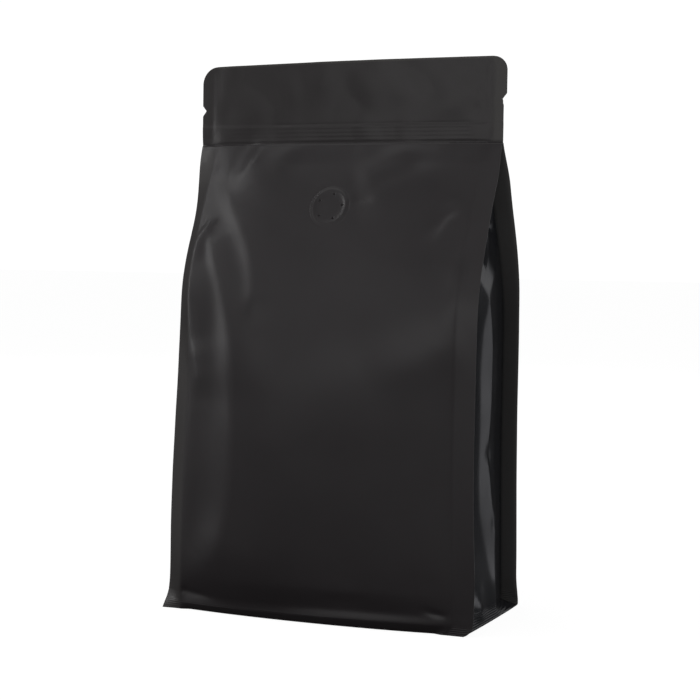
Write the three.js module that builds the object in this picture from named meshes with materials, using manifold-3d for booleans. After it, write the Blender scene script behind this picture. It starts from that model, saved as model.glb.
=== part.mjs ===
// A flat bottom coffee bag of matte black film, filled and shut, standing on its base.
// Front and back panels run into edge seals at the sides, two gussets fold in between them
// towards the top, and a base panel with a seal flange makes the flat bottom.
// Millimetres, +Z up, the front faces -Y, the origin is the centre of the base.

import * as THREE from 'three';
import { mergeVertices } from 'three/addons/utils/BufferGeometryUtils.js';
import Module from 'manifold-3d';

// Whole bag
const BAG_WIDTH = 150;
const BAG_HEIGHT = 253;
const BASE_DEPTH = 76;
const HALF_WIDTH = BAG_WIDTH / 2;
const HALF_DEPTH = BASE_DEPTH / 2;

// Edge seals, the flat fins where a panel and a gusset are welded together
const SEAL_WIDTH = 8.9;
const SEAL_THICKNESS = 0.8;

// Flat strip above the contents, with its zip, tear notches and rounded corners
const STRIP_HALF_THICKNESS = 0.8;
const STRIP_START = 215;
const STRIP_BOW = 4;
const STRIP_BOW_START = 165;
const CORNER_RADIUS = { left: 8.3, right: 6.3 };
const TOP_TILT = 0.7;
const NOTCH_DEPTH = 2;
const NOTCH_HALF_MOUTH = 2.5;
const NOTCH_HEIGHT = { left: 231.8, right: 234.3 };
const WAIST = { left: 0, right: 1.4 };
const WAIST_LOW = 196;
const WAIST_FULL = 216;

// Zip profile, welded into each panel across the strip
const ZIP_LOW = 216.2;
const ZIP_HIGH = 223.6;
const ZIP_HALF_LENGTH = 64;
const ZIP_HALF_THICKNESS = 1.7;
const ZIP_DEPTH = 0.6;
const ZIP_RIB_COUNT = 3;
const ZIP_RIB_HEIGHT = 0.35;
const ZIP_SWELL_BELOW = 2;
const ZIP_SWELL_ABOVE = 1;
const ZIP_SWELL_END = 4;

// Wedge between the full depth and the strip: the bag opens by a slope below its start
const SHOULDER_ROUND = 4;
const RAMP_ROUND = 2;
const WEDGE_START = 216;
const WEDGE_SLOPE = { front: 0.56, back: 0.55 };

// Fill: how far the panels stand out between their seals
const PANEL_BULGE = 8;
const CROWN_FLATNESS = 0.8;
const BULGE_CENTRE = 92;
const BULGE_HALF_SPAN = 124;
const DRAW_IN = 1;

// Gussets: half their film width, and how far the middle crease stands out where the bag is full
const GUSSET_HALF_FILM = 37.6;
const GUSSET_STAND = 4.4;
const GUSSET_TURN_LOW = 138;
const GUSSET_TURN_HIGH = 154;

// Base flange, where the base panel is welded to the walls
const FLANGE_HEIGHT = 10;
const FLANGE_BOW = 6;
const FLANGE_BOW_FLATNESS = 4;
const FOOT_CORNER_REACH = 4;
const FOOT_CREASE_DEPTH = 1.4;
const FOOT_CREASE_HEIGHT = 13;
const FOOT_CREASE_SPREAD = 4.5;
const FOOT_CREASE_GROWTH = 12;

// Each edge seal: its lean towards its gusset in degrees, the heights between which the lean fades,
// how far it is pinched in and back at the shoulder, and the rounding of its lower corner
const SEALS = {
  frontLeft: { lean: 27, fadeLow: 196, fadeHigh: 216, pinchIn: 2.9, pinchBack: 3.5, footRadius: 0.5 },
  frontRight: { lean: 2, fadeLow: 140, fadeHigh: 172, pinchIn: 0, pinchBack: 0, footRadius: 4.2 },
  backLeft: { lean: 24, fadeLow: 145, fadeHigh: 205, pinchIn: 0, pinchBack: 0, footRadius: 5 },
  backRight: { lean: 20, fadeLow: 140, fadeHigh: 172, pinchIn: 0, pinchBack: 0, footRadius: 0.5 },
};
const LEAN_RISE = 8;
const PINCH_HEIGHT = 150;
const PINCH_SPREAD = 34;
const PINCH_REACH = 9;

// Degassing valve on the front panel
const VALVE_HEIGHT = 185.4;
const VALVE_RADIUS = 8.5;
const VALVE_DEPTH = 0.7;
const VALVE_RIM_HEIGHT = 0.55;
const VALVE_RIM_WIDTH = 1.3;
const PINHOLE_COUNT = 5;
const PINHOLE_RING_RADIUS = 5.9;
const PINHOLE_RADIUS = 0.45;
const PINHOLE_DEPTH = 0.5;
const PINHOLE_START = 5;

// Clear space round a piece that is let into the film
const FIT_GAP = 0.3;

// Heights between which the rings of vertices are spread
const FLANGE_RINGS = [0, 1.2, 3, 6];
const WALL_LOW = 18;
const WALL_HIGH = 130;
const WEDGE_HIGH = 212;
const GUSSET_ROOF = 214;
const CORNER_LOW = 241.5;

// Mesh divisions
const WALL_RINGS = 9;
const WEDGE_RINGS = 14;
const NOTCH_RINGS = 3;
const CORNER_RINGS = 4;
const COLUMNS = 28;
const SIDE_COLUMNS = 14;
const ROOT_COLUMN = 2;
const ZIP_COLUMNS = 18;
const ZIP_ROWS_PER_RIB = 4;
const VALVE_SEGMENTS = 40;
const PINHOLE_SEGMENTS = 6;

const FRONT = -1;
const BACK = 1;
const { degToRad, lerp, smoothstep } = THREE.MathUtils;

// Numbers from start to end in equal steps, without the end
function steps(start, end, count) {
  return Array.from({ length: count }, (_, index) => lerp(start, end, index / count));
}

// Heights of the rings of vertices, closer together where the outline turns
function ringHeights() {
  const radius = CORNER_RADIUS.left;
  const cornerRing = (angle) => BAG_HEIGHT - radius * (1 - Math.sin(angle));
  const notchLow = NOTCH_HEIGHT.left - NOTCH_HALF_MOUTH;
  const notchHigh = NOTCH_HEIGHT.right + NOTCH_HALF_MOUTH;
  return [
    ...FLANGE_RINGS, FLANGE_HEIGHT, FOOT_CREASE_HEIGHT,
    ...steps(WALL_LOW, WALL_HIGH, WALL_RINGS),
    ...steps(WALL_HIGH, WEDGE_HIGH, WEDGE_RINGS),
    WEDGE_HIGH, GUSSET_ROOF, STRIP_START, (ZIP_LOW + ZIP_HIGH) / 2, ZIP_HIGH + ZIP_SWELL_ABOVE,
    ...steps(notchLow, notchHigh, NOTCH_RINGS),
    notchHigh, CORNER_LOW,
    ...steps(0, Math.PI / 2, CORNER_RINGS).map(cornerRing),
    BAG_HEIGHT,
  ];
}

const RING_HEIGHTS = ringHeights();

// A ramp that starts softly: nothing below zero, the value itself well above it
function softRamp(value, round) {
  return round * Math.log1p(Math.exp(value / round));
}

// The smaller of two values, with a rounded change from one to the other
function softMin(first, second, round) {
  return -round * Math.log(Math.exp(-first / round) + Math.exp(-second / round));
}

function faceName(face) {
  return face === FRONT ? 'front' : 'back';
}

function sealName(side, face) {
  return faceName(face) + (side < 0 ? 'Left' : 'Right');
}

// How far the panels stand out at a height
function panelBulge(z) {
  return PANEL_BULGE * Math.max(0, 1 - ((z - BULGE_CENTRE) / BULGE_HALF_SPAN) ** 2);
}

// Half the thickness of the flat strip, which is thicker along the zip
function stripHalfThickness(z) {
  const below = smoothstep(z, STRIP_START - ZIP_SWELL_BELOW, STRIP_START);
  const above = smoothstep(z, ZIP_HIGH + ZIP_SWELL_ABOVE, ZIP_HIGH + ZIP_SWELL_END);
  return lerp(STRIP_HALF_THICKNESS, ZIP_HALF_THICKNESS, below * (1 - above));
}

// Forward bow of the strip and the upper wedge, greatest half way across
function stripBow(x, z) {
  const share = smoothstep(z, STRIP_BOW_START, ZIP_HIGH);
  return -STRIP_BOW * share * (1 - (x / HALF_WIDTH) ** 2);
}

// How strongly a seal can be pinched at a height
function pinchShare(z) {
  const fade = 1 - smoothstep(z, WEDGE_HIGH - PINCH_SPREAD, WEDGE_HIGH);
  return fade * Math.exp(-(((z - PINCH_HEIGHT) / PINCH_SPREAD) ** 2));
}

// Distance from the middle plane to the seal line of one edge
function sealDepth(side, face, z) {
  if (z >= STRIP_START) return stripHalfThickness(z);
  const opened = stripHalfThickness(z) + WEDGE_SLOPE[faceName(face)] * softRamp(WEDGE_START - z, RAMP_ROUND);
  const pinched = SEALS[sealName(side, face)].pinchBack * pinchShare(z);
  return softMin(HALF_DEPTH, opened, SHOULDER_ROUND) - pinched;
}

// Distance from the middle to a seal line across the bag: a full panel draws its edges in
function sealLineX(side, face, z) {
  const drawn = (DRAW_IN * panelBulge(z)) / PANEL_BULGE;
  return HALF_WIDTH - SEAL_WIDTH - drawn - SEALS[sealName(side, face)].pinchIn * pinchShare(z);
}

// Lean of an edge seal towards its gusset, in radians
function sealLean(side, face, z) {
  const { lean, fadeLow, fadeHigh } = SEALS[sealName(side, face)];
  return degToRad(lean) * smoothstep(z, 0, LEAN_RISE) * (1 - smoothstep(z, fadeLow, fadeHigh));
}

// How far a corner of a radius is cut back at a distance past the start of its rounding
function roundInset(radius, past) {
  return radius - Math.sqrt(Math.max(0, radius ** 2 - Math.max(0, past) ** 2));
}

// How far the film's edge is cut back: rounded corners, a tear notch, and the waist below it
function edgeInset(side, face, z) {
  const hand = side < 0 ? 'left' : 'right';
  const topRadius = CORNER_RADIUS[hand];
  const footRadius = SEALS[sealName(side, face)].footRadius;
  const notchHeight = NOTCH_HEIGHT[hand];
  const notch = NOTCH_DEPTH * Math.max(0, 1 - Math.abs(z - notchHeight) / NOTCH_HALF_MOUTH);
  const belowNotch = 1 - smoothstep(z, notchHeight - NOTCH_HALF_MOUTH, notchHeight);
  const waist = WAIST[hand] * smoothstep(z, WAIST_LOW, WAIST_FULL) * belowNotch;
  const top = roundInset(topRadius, z - (BAG_HEIGHT - topRadius));
  return top + roundInset(footRadius, footRadius - z) + notch + waist;
}

function sealRoot(side, face, z) {
  return new THREE.Vector3(side * sealLineX(side, face, z), face * sealDepth(side, face, z), z);
}

// Outer edge of a seal, and the same edge on the seal's inner face
function sealEdge(side, face, z, thickness) {
  const lean = sealLean(side, face, z);
  const width = SEAL_WIDTH - edgeInset(side, face, z);
  return sealRoot(side, face, z)
    .add(new THREE.Vector3(side * width * Math.cos(lean), -face * width * Math.sin(lean), 0))
    .add(new THREE.Vector3(-side * thickness * Math.sin(lean), -face * thickness * Math.cos(lean), 0));
}

// A point of a panel's outside: share runs from the left seal line to the right one
function panelPoint(face, share, z) {
  const left = sealDepth(-1, face, z);
  const right = sealDepth(1, face, z);
  const depth = right + (left - right) * (1 - share) ** PINCH_REACH;
  const crown = (4 * share * (1 - share)) ** CROWN_FLATNESS * panelBulge(z);
  const crease = FOOT_CREASE_DEPTH * Math.exp(-(((z - FOOT_CREASE_HEIGHT) / FOOT_CREASE_SPREAD) ** 2));
  const folded = crease * Math.min(1, FOOT_CREASE_GROWTH * share * (1 - share));
  const x = lerp(-sealLineX(-1, face, z), sealLineX(1, face, z), share);
  return new THREE.Vector3(x, face * (depth + crown - folded), z);
}

// A column of a panel: the seal's edge, its root, the panel between, and the other seal
function panelColumn(face, column, z) {
  if (column === 0) return sealEdge(-1, face, z, 0);
  if (column === COLUMNS) return sealEdge(1, face, z, 0);
  return panelPoint(face, (column - 1) / (COLUMNS - 2), z);
}

// Distance from the middle to a gusset's crease: out where the bag is full, folded in above
function creaseX(side, z) {
  const halfOpening = (sealDepth(side, FRONT, z) + sealDepth(side, BACK, z)) / 2 - SEAL_THICKNESS;
  const fold = Math.sqrt(Math.max(0, GUSSET_HALF_FILM ** 2 - halfOpening ** 2));
  const rootX = (sealLineX(side, FRONT, z) + sealLineX(side, BACK, z)) / 2;
  return rootX + lerp(GUSSET_STAND, -fold, smoothstep(z, GUSSET_TURN_LOW, GUSSET_TURN_HIGH));
}

// A column of a gusset side, from the front seal's edge round the fold to the back seal's edge
function sideColumn(side, column, z) {
  const frontEdge = sealEdge(side, FRONT, z, 0);
  const backEdge = sealEdge(side, BACK, z, 0);
  if (z >= STRIP_START) return frontEdge.lerp(backEdge, column / SIDE_COLUMNS);
  if (column === 0) return frontEdge;
  if (column === SIDE_COLUMNS) return backEdge;
  if (column === 1) return sealEdge(side, FRONT, z, SEAL_THICKNESS);
  if (column === SIDE_COLUMNS - 1) return sealEdge(side, BACK, z, SEAL_THICKNESS);
  const inward = new THREE.Vector3(0, SEAL_THICKNESS, 0);
  const frontRoot = sealRoot(side, FRONT, z).add(inward);
  const backRoot = sealRoot(side, BACK, z).sub(inward);
  const crease = new THREE.Vector3(side * creaseX(side, z), (frontRoot.y + backRoot.y) / 2, z);
  const half = SIDE_COLUMNS / 2;
  return column <= half
    ? frontRoot.lerp(crease, (column - ROOT_COLUMN) / (half - ROOT_COLUMN))
    : backRoot.lerp(crease, (SIDE_COLUMNS - ROOT_COLUMN - column) / (half - ROOT_COLUMN));
}

// The base outline along a gusset, at the full width but for the rounding at its two corners
function baseSide(side, column) {
  const share = column / SIDE_COLUMNS;
  const front = SEALS[sealName(side, FRONT)].footRadius * (1 - share) ** FOOT_CORNER_REACH;
  const back = SEALS[sealName(side, BACK)].footRadius * share ** FOOT_CORNER_REACH;
  return new THREE.Vector3(side * (HALF_WIDTH - front - back), lerp(-HALF_DEPTH, HALF_DEPTH, share), 0);
}

// The base outline along the front or back, bowed out by the fill
function baseFrontBack(face, column) {
  const cornerColumn = face === FRONT ? 0 : SIDE_COLUMNS;
  const across = lerp(-1, 1, column / COLUMNS);
  const point = baseSide(-1, cornerColumn).lerp(baseSide(1, cornerColumn), column / COLUMNS);
  point.y += face * FLANGE_BOW * (1 - across ** FLANGE_BOW_FLATNESS);
  return point;
}

// A point of the bag's outline at a height: the base outline eases into the walls over the flange
function outlinePoint(column, sideIndex, z) {
  const onPanel = sideIndex === 0 || sideIndex === SIDE_COLUMNS;
  const face = sideIndex === 0 ? FRONT : BACK;
  const side = column === 0 ? -1 : 1;
  const wall = onPanel ? panelColumn(face, column, z) : sideColumn(side, sideIndex, z);
  wall.y += stripBow(wall.x, z);
  wall.z += TOP_TILT * (wall.x / HALF_WIDTH) * smoothstep(z, ZIP_HIGH, BAG_HEIGHT);
  if (z >= FLANGE_HEIGHT) return wall;
  const base = onPanel ? baseFrontBack(face, column) : baseSide(side, sideIndex);
  return base.setZ(z).lerp(wall, Math.sqrt(smoothstep(z, 0, FLANGE_HEIGHT)));
}

// A point inside the outline at a height, for the base and the top edge
function fillPoint(column, sideIndex, z) {
  const u = column / COLUMNS;
  const v = sideIndex / SIDE_COLUMNS;
  const alongPanels = outlinePoint(column, 0, z).lerp(outlinePoint(column, SIDE_COLUMNS, z), v);
  const alongSides = outlinePoint(0, sideIndex, z).lerp(outlinePoint(COLUMNS, sideIndex, z), u);
  const frontCorners = outlinePoint(0, 0, z).lerp(outlinePoint(COLUMNS, 0, z), u);
  const backCorners = outlinePoint(0, SIDE_COLUMNS, z).lerp(outlinePoint(COLUMNS, SIDE_COLUMNS, z), u);
  return alongPanels.add(alongSides).sub(frontCorners.lerp(backCorners, v));
}

// A box whose vertices are moved to where a function of their three grid shares puts them
function shapedBox(columns, rows, layers, place) {
  const geometry = new THREE.BoxGeometry(2, 2, 2, columns, rows, layers);
  const position = geometry.attributes.position;
  for (let index = 0; index < position.count; index += 1) {
    const column = Math.round(((position.getX(index) + 1) / 2) * columns);
    const row = Math.round(((position.getY(index) + 1) / 2) * rows);
    const layer = Math.round(((position.getZ(index) + 1) / 2) * layers);
    position.setXYZ(index, ...place(column, row, layer).toArray());
  }
  return geometry;
}

const wasm = await Module();
wasm.setup();

// A closed geometry as a solid for cutting
function solidOf(geometry, matrix = new THREE.Matrix4()) {
  const bare = geometry.clone().applyMatrix4(matrix);
  bare.deleteAttribute('normal');
  bare.deleteAttribute('uv');
  const merged = mergeVertices(bare);
  return new wasm.Manifold(new wasm.Mesh({
    numProp: 3,
    vertProperties: new Float32Array(merged.attributes.position.array),
    triVerts: new Uint32Array(merged.index.array),
  }));
}

// A cut solid back as a geometry
function geometryOf(solid) {
  const mesh = solid.getMesh();
  const geometry = new THREE.BufferGeometry();
  geometry.setAttribute('position', new THREE.BufferAttribute(mesh.vertProperties, 3));
  geometry.setIndex(new THREE.BufferAttribute(mesh.triVerts, 1));
  geometry.computeVertexNormals();
  return geometry;
}

// Zip half: a bar that follows the strip's bow, with ribs along its outside.
// Grown by a margin and carried out of the strip, the same shape cuts its seat.
function zipBar(face, margin, outside) {
  const rows = ZIP_RIB_COUNT * ZIP_ROWS_PER_RIB;
  return shapedBox(ZIP_COLUMNS, 1, rows, (column, row, layer) => {
    const x = lerp(-1, 1, column / ZIP_COLUMNS) * (ZIP_HALF_LENGTH + margin);
    const z = lerp(ZIP_LOW - margin, ZIP_HIGH + margin, layer / rows);
    const rib = ZIP_RIB_HEIGHT * Math.sin((Math.PI * ZIP_RIB_COUNT * layer) / rows) ** 2;
    const outer = ZIP_HALF_THICKNESS + (outside || rib);
    const inner = ZIP_HALF_THICKNESS - ZIP_DEPTH - margin;
    const isOuter = (row === 0) === (face === FRONT);
    return new THREE.Vector3(x, face * (isOuter ? outer : inner) + stripBow(x, z), z);
  });
}

// Place and direction of the valve: its axis is the front panel's own normal there
function valveMatrix() {
  const middle = 0.5;
  const shareStep = 0.01;
  const heightStep = 1;
  const surface = (share, z) => {
    const point = panelPoint(FRONT, share, z);
    return point.setY(point.y + stripBow(point.x, z));
  };
  const centre = surface(middle, VALVE_HEIGHT);
  const across = surface(middle + shareStep, VALVE_HEIGHT).sub(surface(middle - shareStep, VALVE_HEIGHT));
  const upward = surface(middle, VALVE_HEIGHT + heightStep).sub(surface(middle, VALVE_HEIGHT - heightStep));
  const normal = across.clone().cross(upward).normalize();
  const xAxis = across.normalize();
  const basis = new THREE.Matrix4().makeBasis(xAxis, normal, xAxis.clone().cross(normal));
  return basis.setPosition(centre);
}

// Valve disc, turned about its axis: a raised rim round a flat dish, with blind pinholes
function valveDisc() {
  const rimMiddle = VALVE_RADIUS - VALVE_RIM_WIDTH / 2;
  const profile = [new THREE.Vector2(0, -VALVE_DEPTH), new THREE.Vector2(VALVE_RADIUS, -VALVE_DEPTH)];
  for (const angle of [...steps(0, Math.PI, 6), Math.PI]) {
    const radius = rimMiddle + (VALVE_RIM_WIDTH / 2) * Math.cos(angle);
    profile.push(new THREE.Vector2(radius, VALVE_RIM_HEIGHT * Math.sin(angle)));
  }
  profile.push(new THREE.Vector2(0, 0));
  let disc = solidOf(new THREE.LatheGeometry(profile, VALVE_SEGMENTS));
  for (const turn of steps(0, 360, PINHOLE_COUNT)) {
    const angle = degToRad(PINHOLE_START + turn);
    const hole = new THREE.CylinderGeometry(
      PINHOLE_RADIUS, PINHOLE_RADIUS, 2 * PINHOLE_DEPTH, PINHOLE_SEGMENTS,
    );
    const place = new THREE.Matrix4().makeTranslation(
      PINHOLE_RING_RADIUS * Math.cos(angle), 0, -PINHOLE_RING_RADIUS * Math.sin(angle),
    );
    disc = disc.subtract(solidOf(hole, place));
  }
  return geometryOf(disc);
}

// Seat of the valve in the front panel
function valveSeat() {
  const depth = VALVE_DEPTH + FIT_GAP;
  const seat = new THREE.CylinderGeometry(
    VALVE_RADIUS + FIT_GAP, VALVE_RADIUS + FIT_GAP, 2 * depth, VALVE_SEGMENTS,
  );
  return solidOf(seat, valveMatrix());
}

// The film pouch, with seats for the zip halves and the valve
function pouch() {
  const layers = RING_HEIGHTS.length - 1;
  const body = shapedBox(COLUMNS, SIDE_COLUMNS, layers, (column, sideIndex, layer) => {
    const z = RING_HEIGHTS[layer];
    const onOutline = column % COLUMNS === 0 || sideIndex % SIDE_COLUMNS === 0;
    return onOutline ? outlinePoint(column, sideIndex, z) : fillPoint(column, sideIndex, z);
  });
  const seats = [
    solidOf(zipBar(FRONT, FIT_GAP, STRIP_BOW)),
    solidOf(zipBar(BACK, FIT_GAP, STRIP_BOW)),
    valveSeat(),
  ];
  return geometryOf(seats.reduce((solid, seat) => solid.subtract(seat), solidOf(body)));
}

const FILM = new THREE.MeshStandardMaterial({ color: 0x2a292a, roughness: 0.55, metalness: 0 });
const ZIP_FILM = new THREE.MeshStandardMaterial({ color: 0x2d2c2d, roughness: 0.5, metalness: 0 });
const VALVE_FILM = new THREE.MeshStandardMaterial({ color: 0x262526, roughness: 0.55, metalness: 0 });

function named(name, geometry, material) {
  const mesh = new THREE.Mesh(geometry, material);
  mesh.name = name;
  return mesh;
}

const bag = new THREE.Group();
bag.add(named('pouch', pouch(), FILM));
bag.add(named('zip_front', zipBar(FRONT, 0, 0), ZIP_FILM));
bag.add(named('zip_back', zipBar(BACK, 0, 0), ZIP_FILM));
const valve = named('valve', valveDisc(), VALVE_FILM);
valve.applyMatrix4(valveMatrix());
bag.add(valve);

export default bag;
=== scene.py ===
"""Looks of a filled, shut flat bottom coffee bag of matte black film, dressed over its solids."""

import logging
import math
from dataclasses import dataclass
from enum import Enum

import bpy
import numpy as np
from mathutils import Matrix

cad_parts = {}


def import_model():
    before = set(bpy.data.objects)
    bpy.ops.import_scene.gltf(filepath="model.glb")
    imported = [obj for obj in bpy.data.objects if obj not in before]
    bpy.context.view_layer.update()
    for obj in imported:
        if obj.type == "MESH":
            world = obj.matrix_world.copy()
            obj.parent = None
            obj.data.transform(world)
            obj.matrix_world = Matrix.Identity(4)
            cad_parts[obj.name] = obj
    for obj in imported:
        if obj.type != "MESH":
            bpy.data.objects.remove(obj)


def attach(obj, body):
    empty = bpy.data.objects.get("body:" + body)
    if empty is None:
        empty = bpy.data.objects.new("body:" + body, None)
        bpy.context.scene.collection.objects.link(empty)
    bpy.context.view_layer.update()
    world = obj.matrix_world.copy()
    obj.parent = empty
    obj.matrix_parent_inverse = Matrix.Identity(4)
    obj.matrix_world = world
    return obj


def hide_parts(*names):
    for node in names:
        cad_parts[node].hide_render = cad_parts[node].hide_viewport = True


Array = np.ndarray
Point = tuple[float, float]
Curve = tuple[Point, ...]
Triple = tuple[float, float, float]
MM = 0.001
NOISE_CELLS = 64
NOISE_START: Point = (20.0, 8.0)
NOISE_GAIN = 1.6
SMOOTH_ANGLE = math.radians(50.0)
LOG = logging.getLogger("coffee_bag")


class Side(Enum):
    """Left or right edge of the bag, as seen from the front."""

    LEFT = -1
    RIGHT = 1


class Face(Enum):
    """Front or back of the bag: the front looks along -Y."""

    FRONT = -1
    BACK = 1


# Small formulas

def smooth(value: Array, low: float, high: float) -> Array:
    """Rises softly from 0 at low to 1 at high."""
    share = np.clip((value - low) / (high - low), 0.0, 1.0)
    return share * share * (3.0 - 2.0 * share)


def mix(first: Array, second: Array, share: Array) -> Array:
    """Blends two values by a share from 0 to 1."""
    return first + (second - first) * share


def to_share(across: Array) -> Array:
    """Turns a place from -1 to 1 into a share from 0 to 1."""
    return 0.5 * (across + 1.0)


def step_at(value: Array, place: float, half: float) -> Array:
    """Rises softly from 0 to 1 around a place."""
    return smooth(value, place - half, place + half)


def soft_ramp(value: Array, rounding: float) -> Array:
    """Stays at nothing below zero and follows the value well above it."""
    return rounding * np.logaddexp(0.0, value / rounding)


def soft_min(first: Array, second: Array, rounding: float) -> Array:
    """Takes the smaller of two values, with a rounded change between them."""
    return -rounding * np.logaddexp(-first / rounding, -second / rounding)


def round_inset(radius: float, past: Array) -> Array:
    """Gives how far a rounded corner is cut back, past the start of its rounding."""
    return radius - np.sqrt(np.maximum(0.0, radius**2 - np.maximum(0.0, past) ** 2))


def bump_at(value: Array, centre: float, spread: float | Array) -> Array:
    """Gives a soft bump of height 1 around a centre."""
    return np.exp(-(((value - centre) / spread) ** 2))


def soft_noise(across: Array, height: Array, cell: float, seed: int) -> Array:
    """Gives smooth seeded noise between about -1 and 1.

    Args:
        across: Places across the film in millimetres.
        height: Places up the film in millimetres.
        cell: Size of one swell in millimetres.
        seed: Seed of the swells.

    Returns:
        The noise at each place.
    """
    table = np.random.RandomState(seed).uniform(-1.0, 1.0, (NOISE_CELLS, NOISE_CELLS))
    column = across / cell + NOISE_START[0]
    row = height / cell + NOISE_START[1]
    left = np.floor(column).astype(int)
    low = np.floor(row).astype(int)
    total = np.zeros(np.broadcast(column, row).shape)
    for step_x in range(-1, 3):
        weight_x = cubic_weight(column - (left + step_x))
        for step_y in range(-1, 3):
            weight_y = cubic_weight(row - (low + step_y))
            knot = table[(low + step_y) % NOISE_CELLS, (left + step_x) % NOISE_CELLS]
            total += weight_x * weight_y * knot
    return total * NOISE_GAIN


def cubic_weight(offset: Array) -> Array:
    """Gives the weight of a cubic spline at a distance from its knot."""
    away = np.abs(offset)
    near = (4.0 - 6.0 * away**2 + 3.0 * away**3) / 6.0
    far = np.maximum(0.0, 2.0 - away) ** 3 / 6.0
    return np.where(away < 1.0, near, far)


def rows_between(*stops: tuple[float, float]) -> Array:
    """Gives heights from stop to stop.

    Args:
        stops: Pairs of a height and the spacing of the rows that lead on from it.

    Returns:
        All the heights, from the first stop to the last.
    """
    parts: list[Array] = []
    for (start, spacing), (end, _) in zip(stops, stops[1:]):
        count = max(1, round((end - start) / spacing))
        parts.append(np.linspace(start, end, count, endpoint=False))
    parts.append(np.array([stops[-1][0]]))
    return np.concatenate(parts)


# The bag's form

@dataclass(frozen=True)
class SealSet:
    """How one edge seal stands, as curves over the height.

    Lean is towards the gusset in degrees, draw is how far the seal line is drawn in across the bag,
    lip_end is where the foot's lip begins to pass into the seal, as a share of the half width, and
    foot_curve holds the two powers of the curve that the seal's edge follows at the foot.
    """

    foot_radius: float
    lean: Curve
    draw: Curve
    lip_end: float = 0.83
    foot_curve: Point = (1.6, 1.0)


EVEN_DRAW: Curve = (
    (0.0, 0.0), (24.0, 0.2), (60.0, 0.9), (92.0, 1.2), (140.0, 1.0), (190.0, 0.8), (210.0, 0.0),
)
SEALS: dict[tuple[Face, Side], SealSet] = {
    (Face.FRONT, Side.LEFT): SealSet(
        0.5,
        ((0.0, 18.0), (8.0, 30.0), (18.0, 31.5), (42.0, 30.0), (74.0, 32.0), (98.0, 30.5),
         (110.0, 30.5), (122.0, 35.0), (138.0, 42.5), (150.0, 45.5), (178.0, 47.0), (186.0, 44.5),
         (194.0, 35.0), (202.0, 23.0), (210.0, 8.0), (216.0, 0.0)),
        ((0.0, 0.5), (16.0, 0.6), (38.0, 0.8), (68.0, 1.4), (90.0, 2.6), (107.0, 3.7), (120.0, 3.6),
         (134.0, 3.0), (150.0, 1.6), (165.0, 0.7), (180.0, 0.3), (190.0, 0.1), (201.0, 0.0)),
    ),
    (Face.FRONT, Side.RIGHT): SealSet(
        4.2,
        ((0.0, 0.0), (8.0, 2.0), (160.0, 2.0), (170.0, 0.0)),
        ((0.0, 0.0), (24.0, -0.5), (42.0, 0.4), (60.0, 0.9), (80.0, 1.1), (140.0, 0.8), (190.0, 0.8),
         (210.0, 0.0)),
        lip_end=0.92,
        foot_curve=(2.0, 0.25),
    ),
    (Face.BACK, Side.LEFT): SealSet(
        5.0, ((0.0, 0.0), (8.0, 24.0), (145.0, 24.0), (205.0, 6.0), (215.0, 0.0)), EVEN_DRAW,
    ),
    (Face.BACK, Side.RIGHT): SealSet(
        0.5, ((0.0, 0.0), (8.0, 20.0), (140.0, 20.0), (172.0, 0.0)), EVEN_DRAW,
    ),
}
WEDGE_SLOPE: dict[Face, float] = {Face.FRONT: 0.56, Face.BACK: 0.55}
CORNER_RADIUS: dict[Side, float] = {Side.LEFT: 8.3, Side.RIGHT: 6.3}
NOTCH_HEIGHT: dict[Side, float] = {Side.LEFT: 231.8, Side.RIGHT: 234.3}
WAIST: dict[Side, float] = {Side.LEFT: 0.0, Side.RIGHT: 1.4}
VALVE_CENTRE: Point = (-1.0, 185.7)
VALVE_RISE = 0.98


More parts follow.
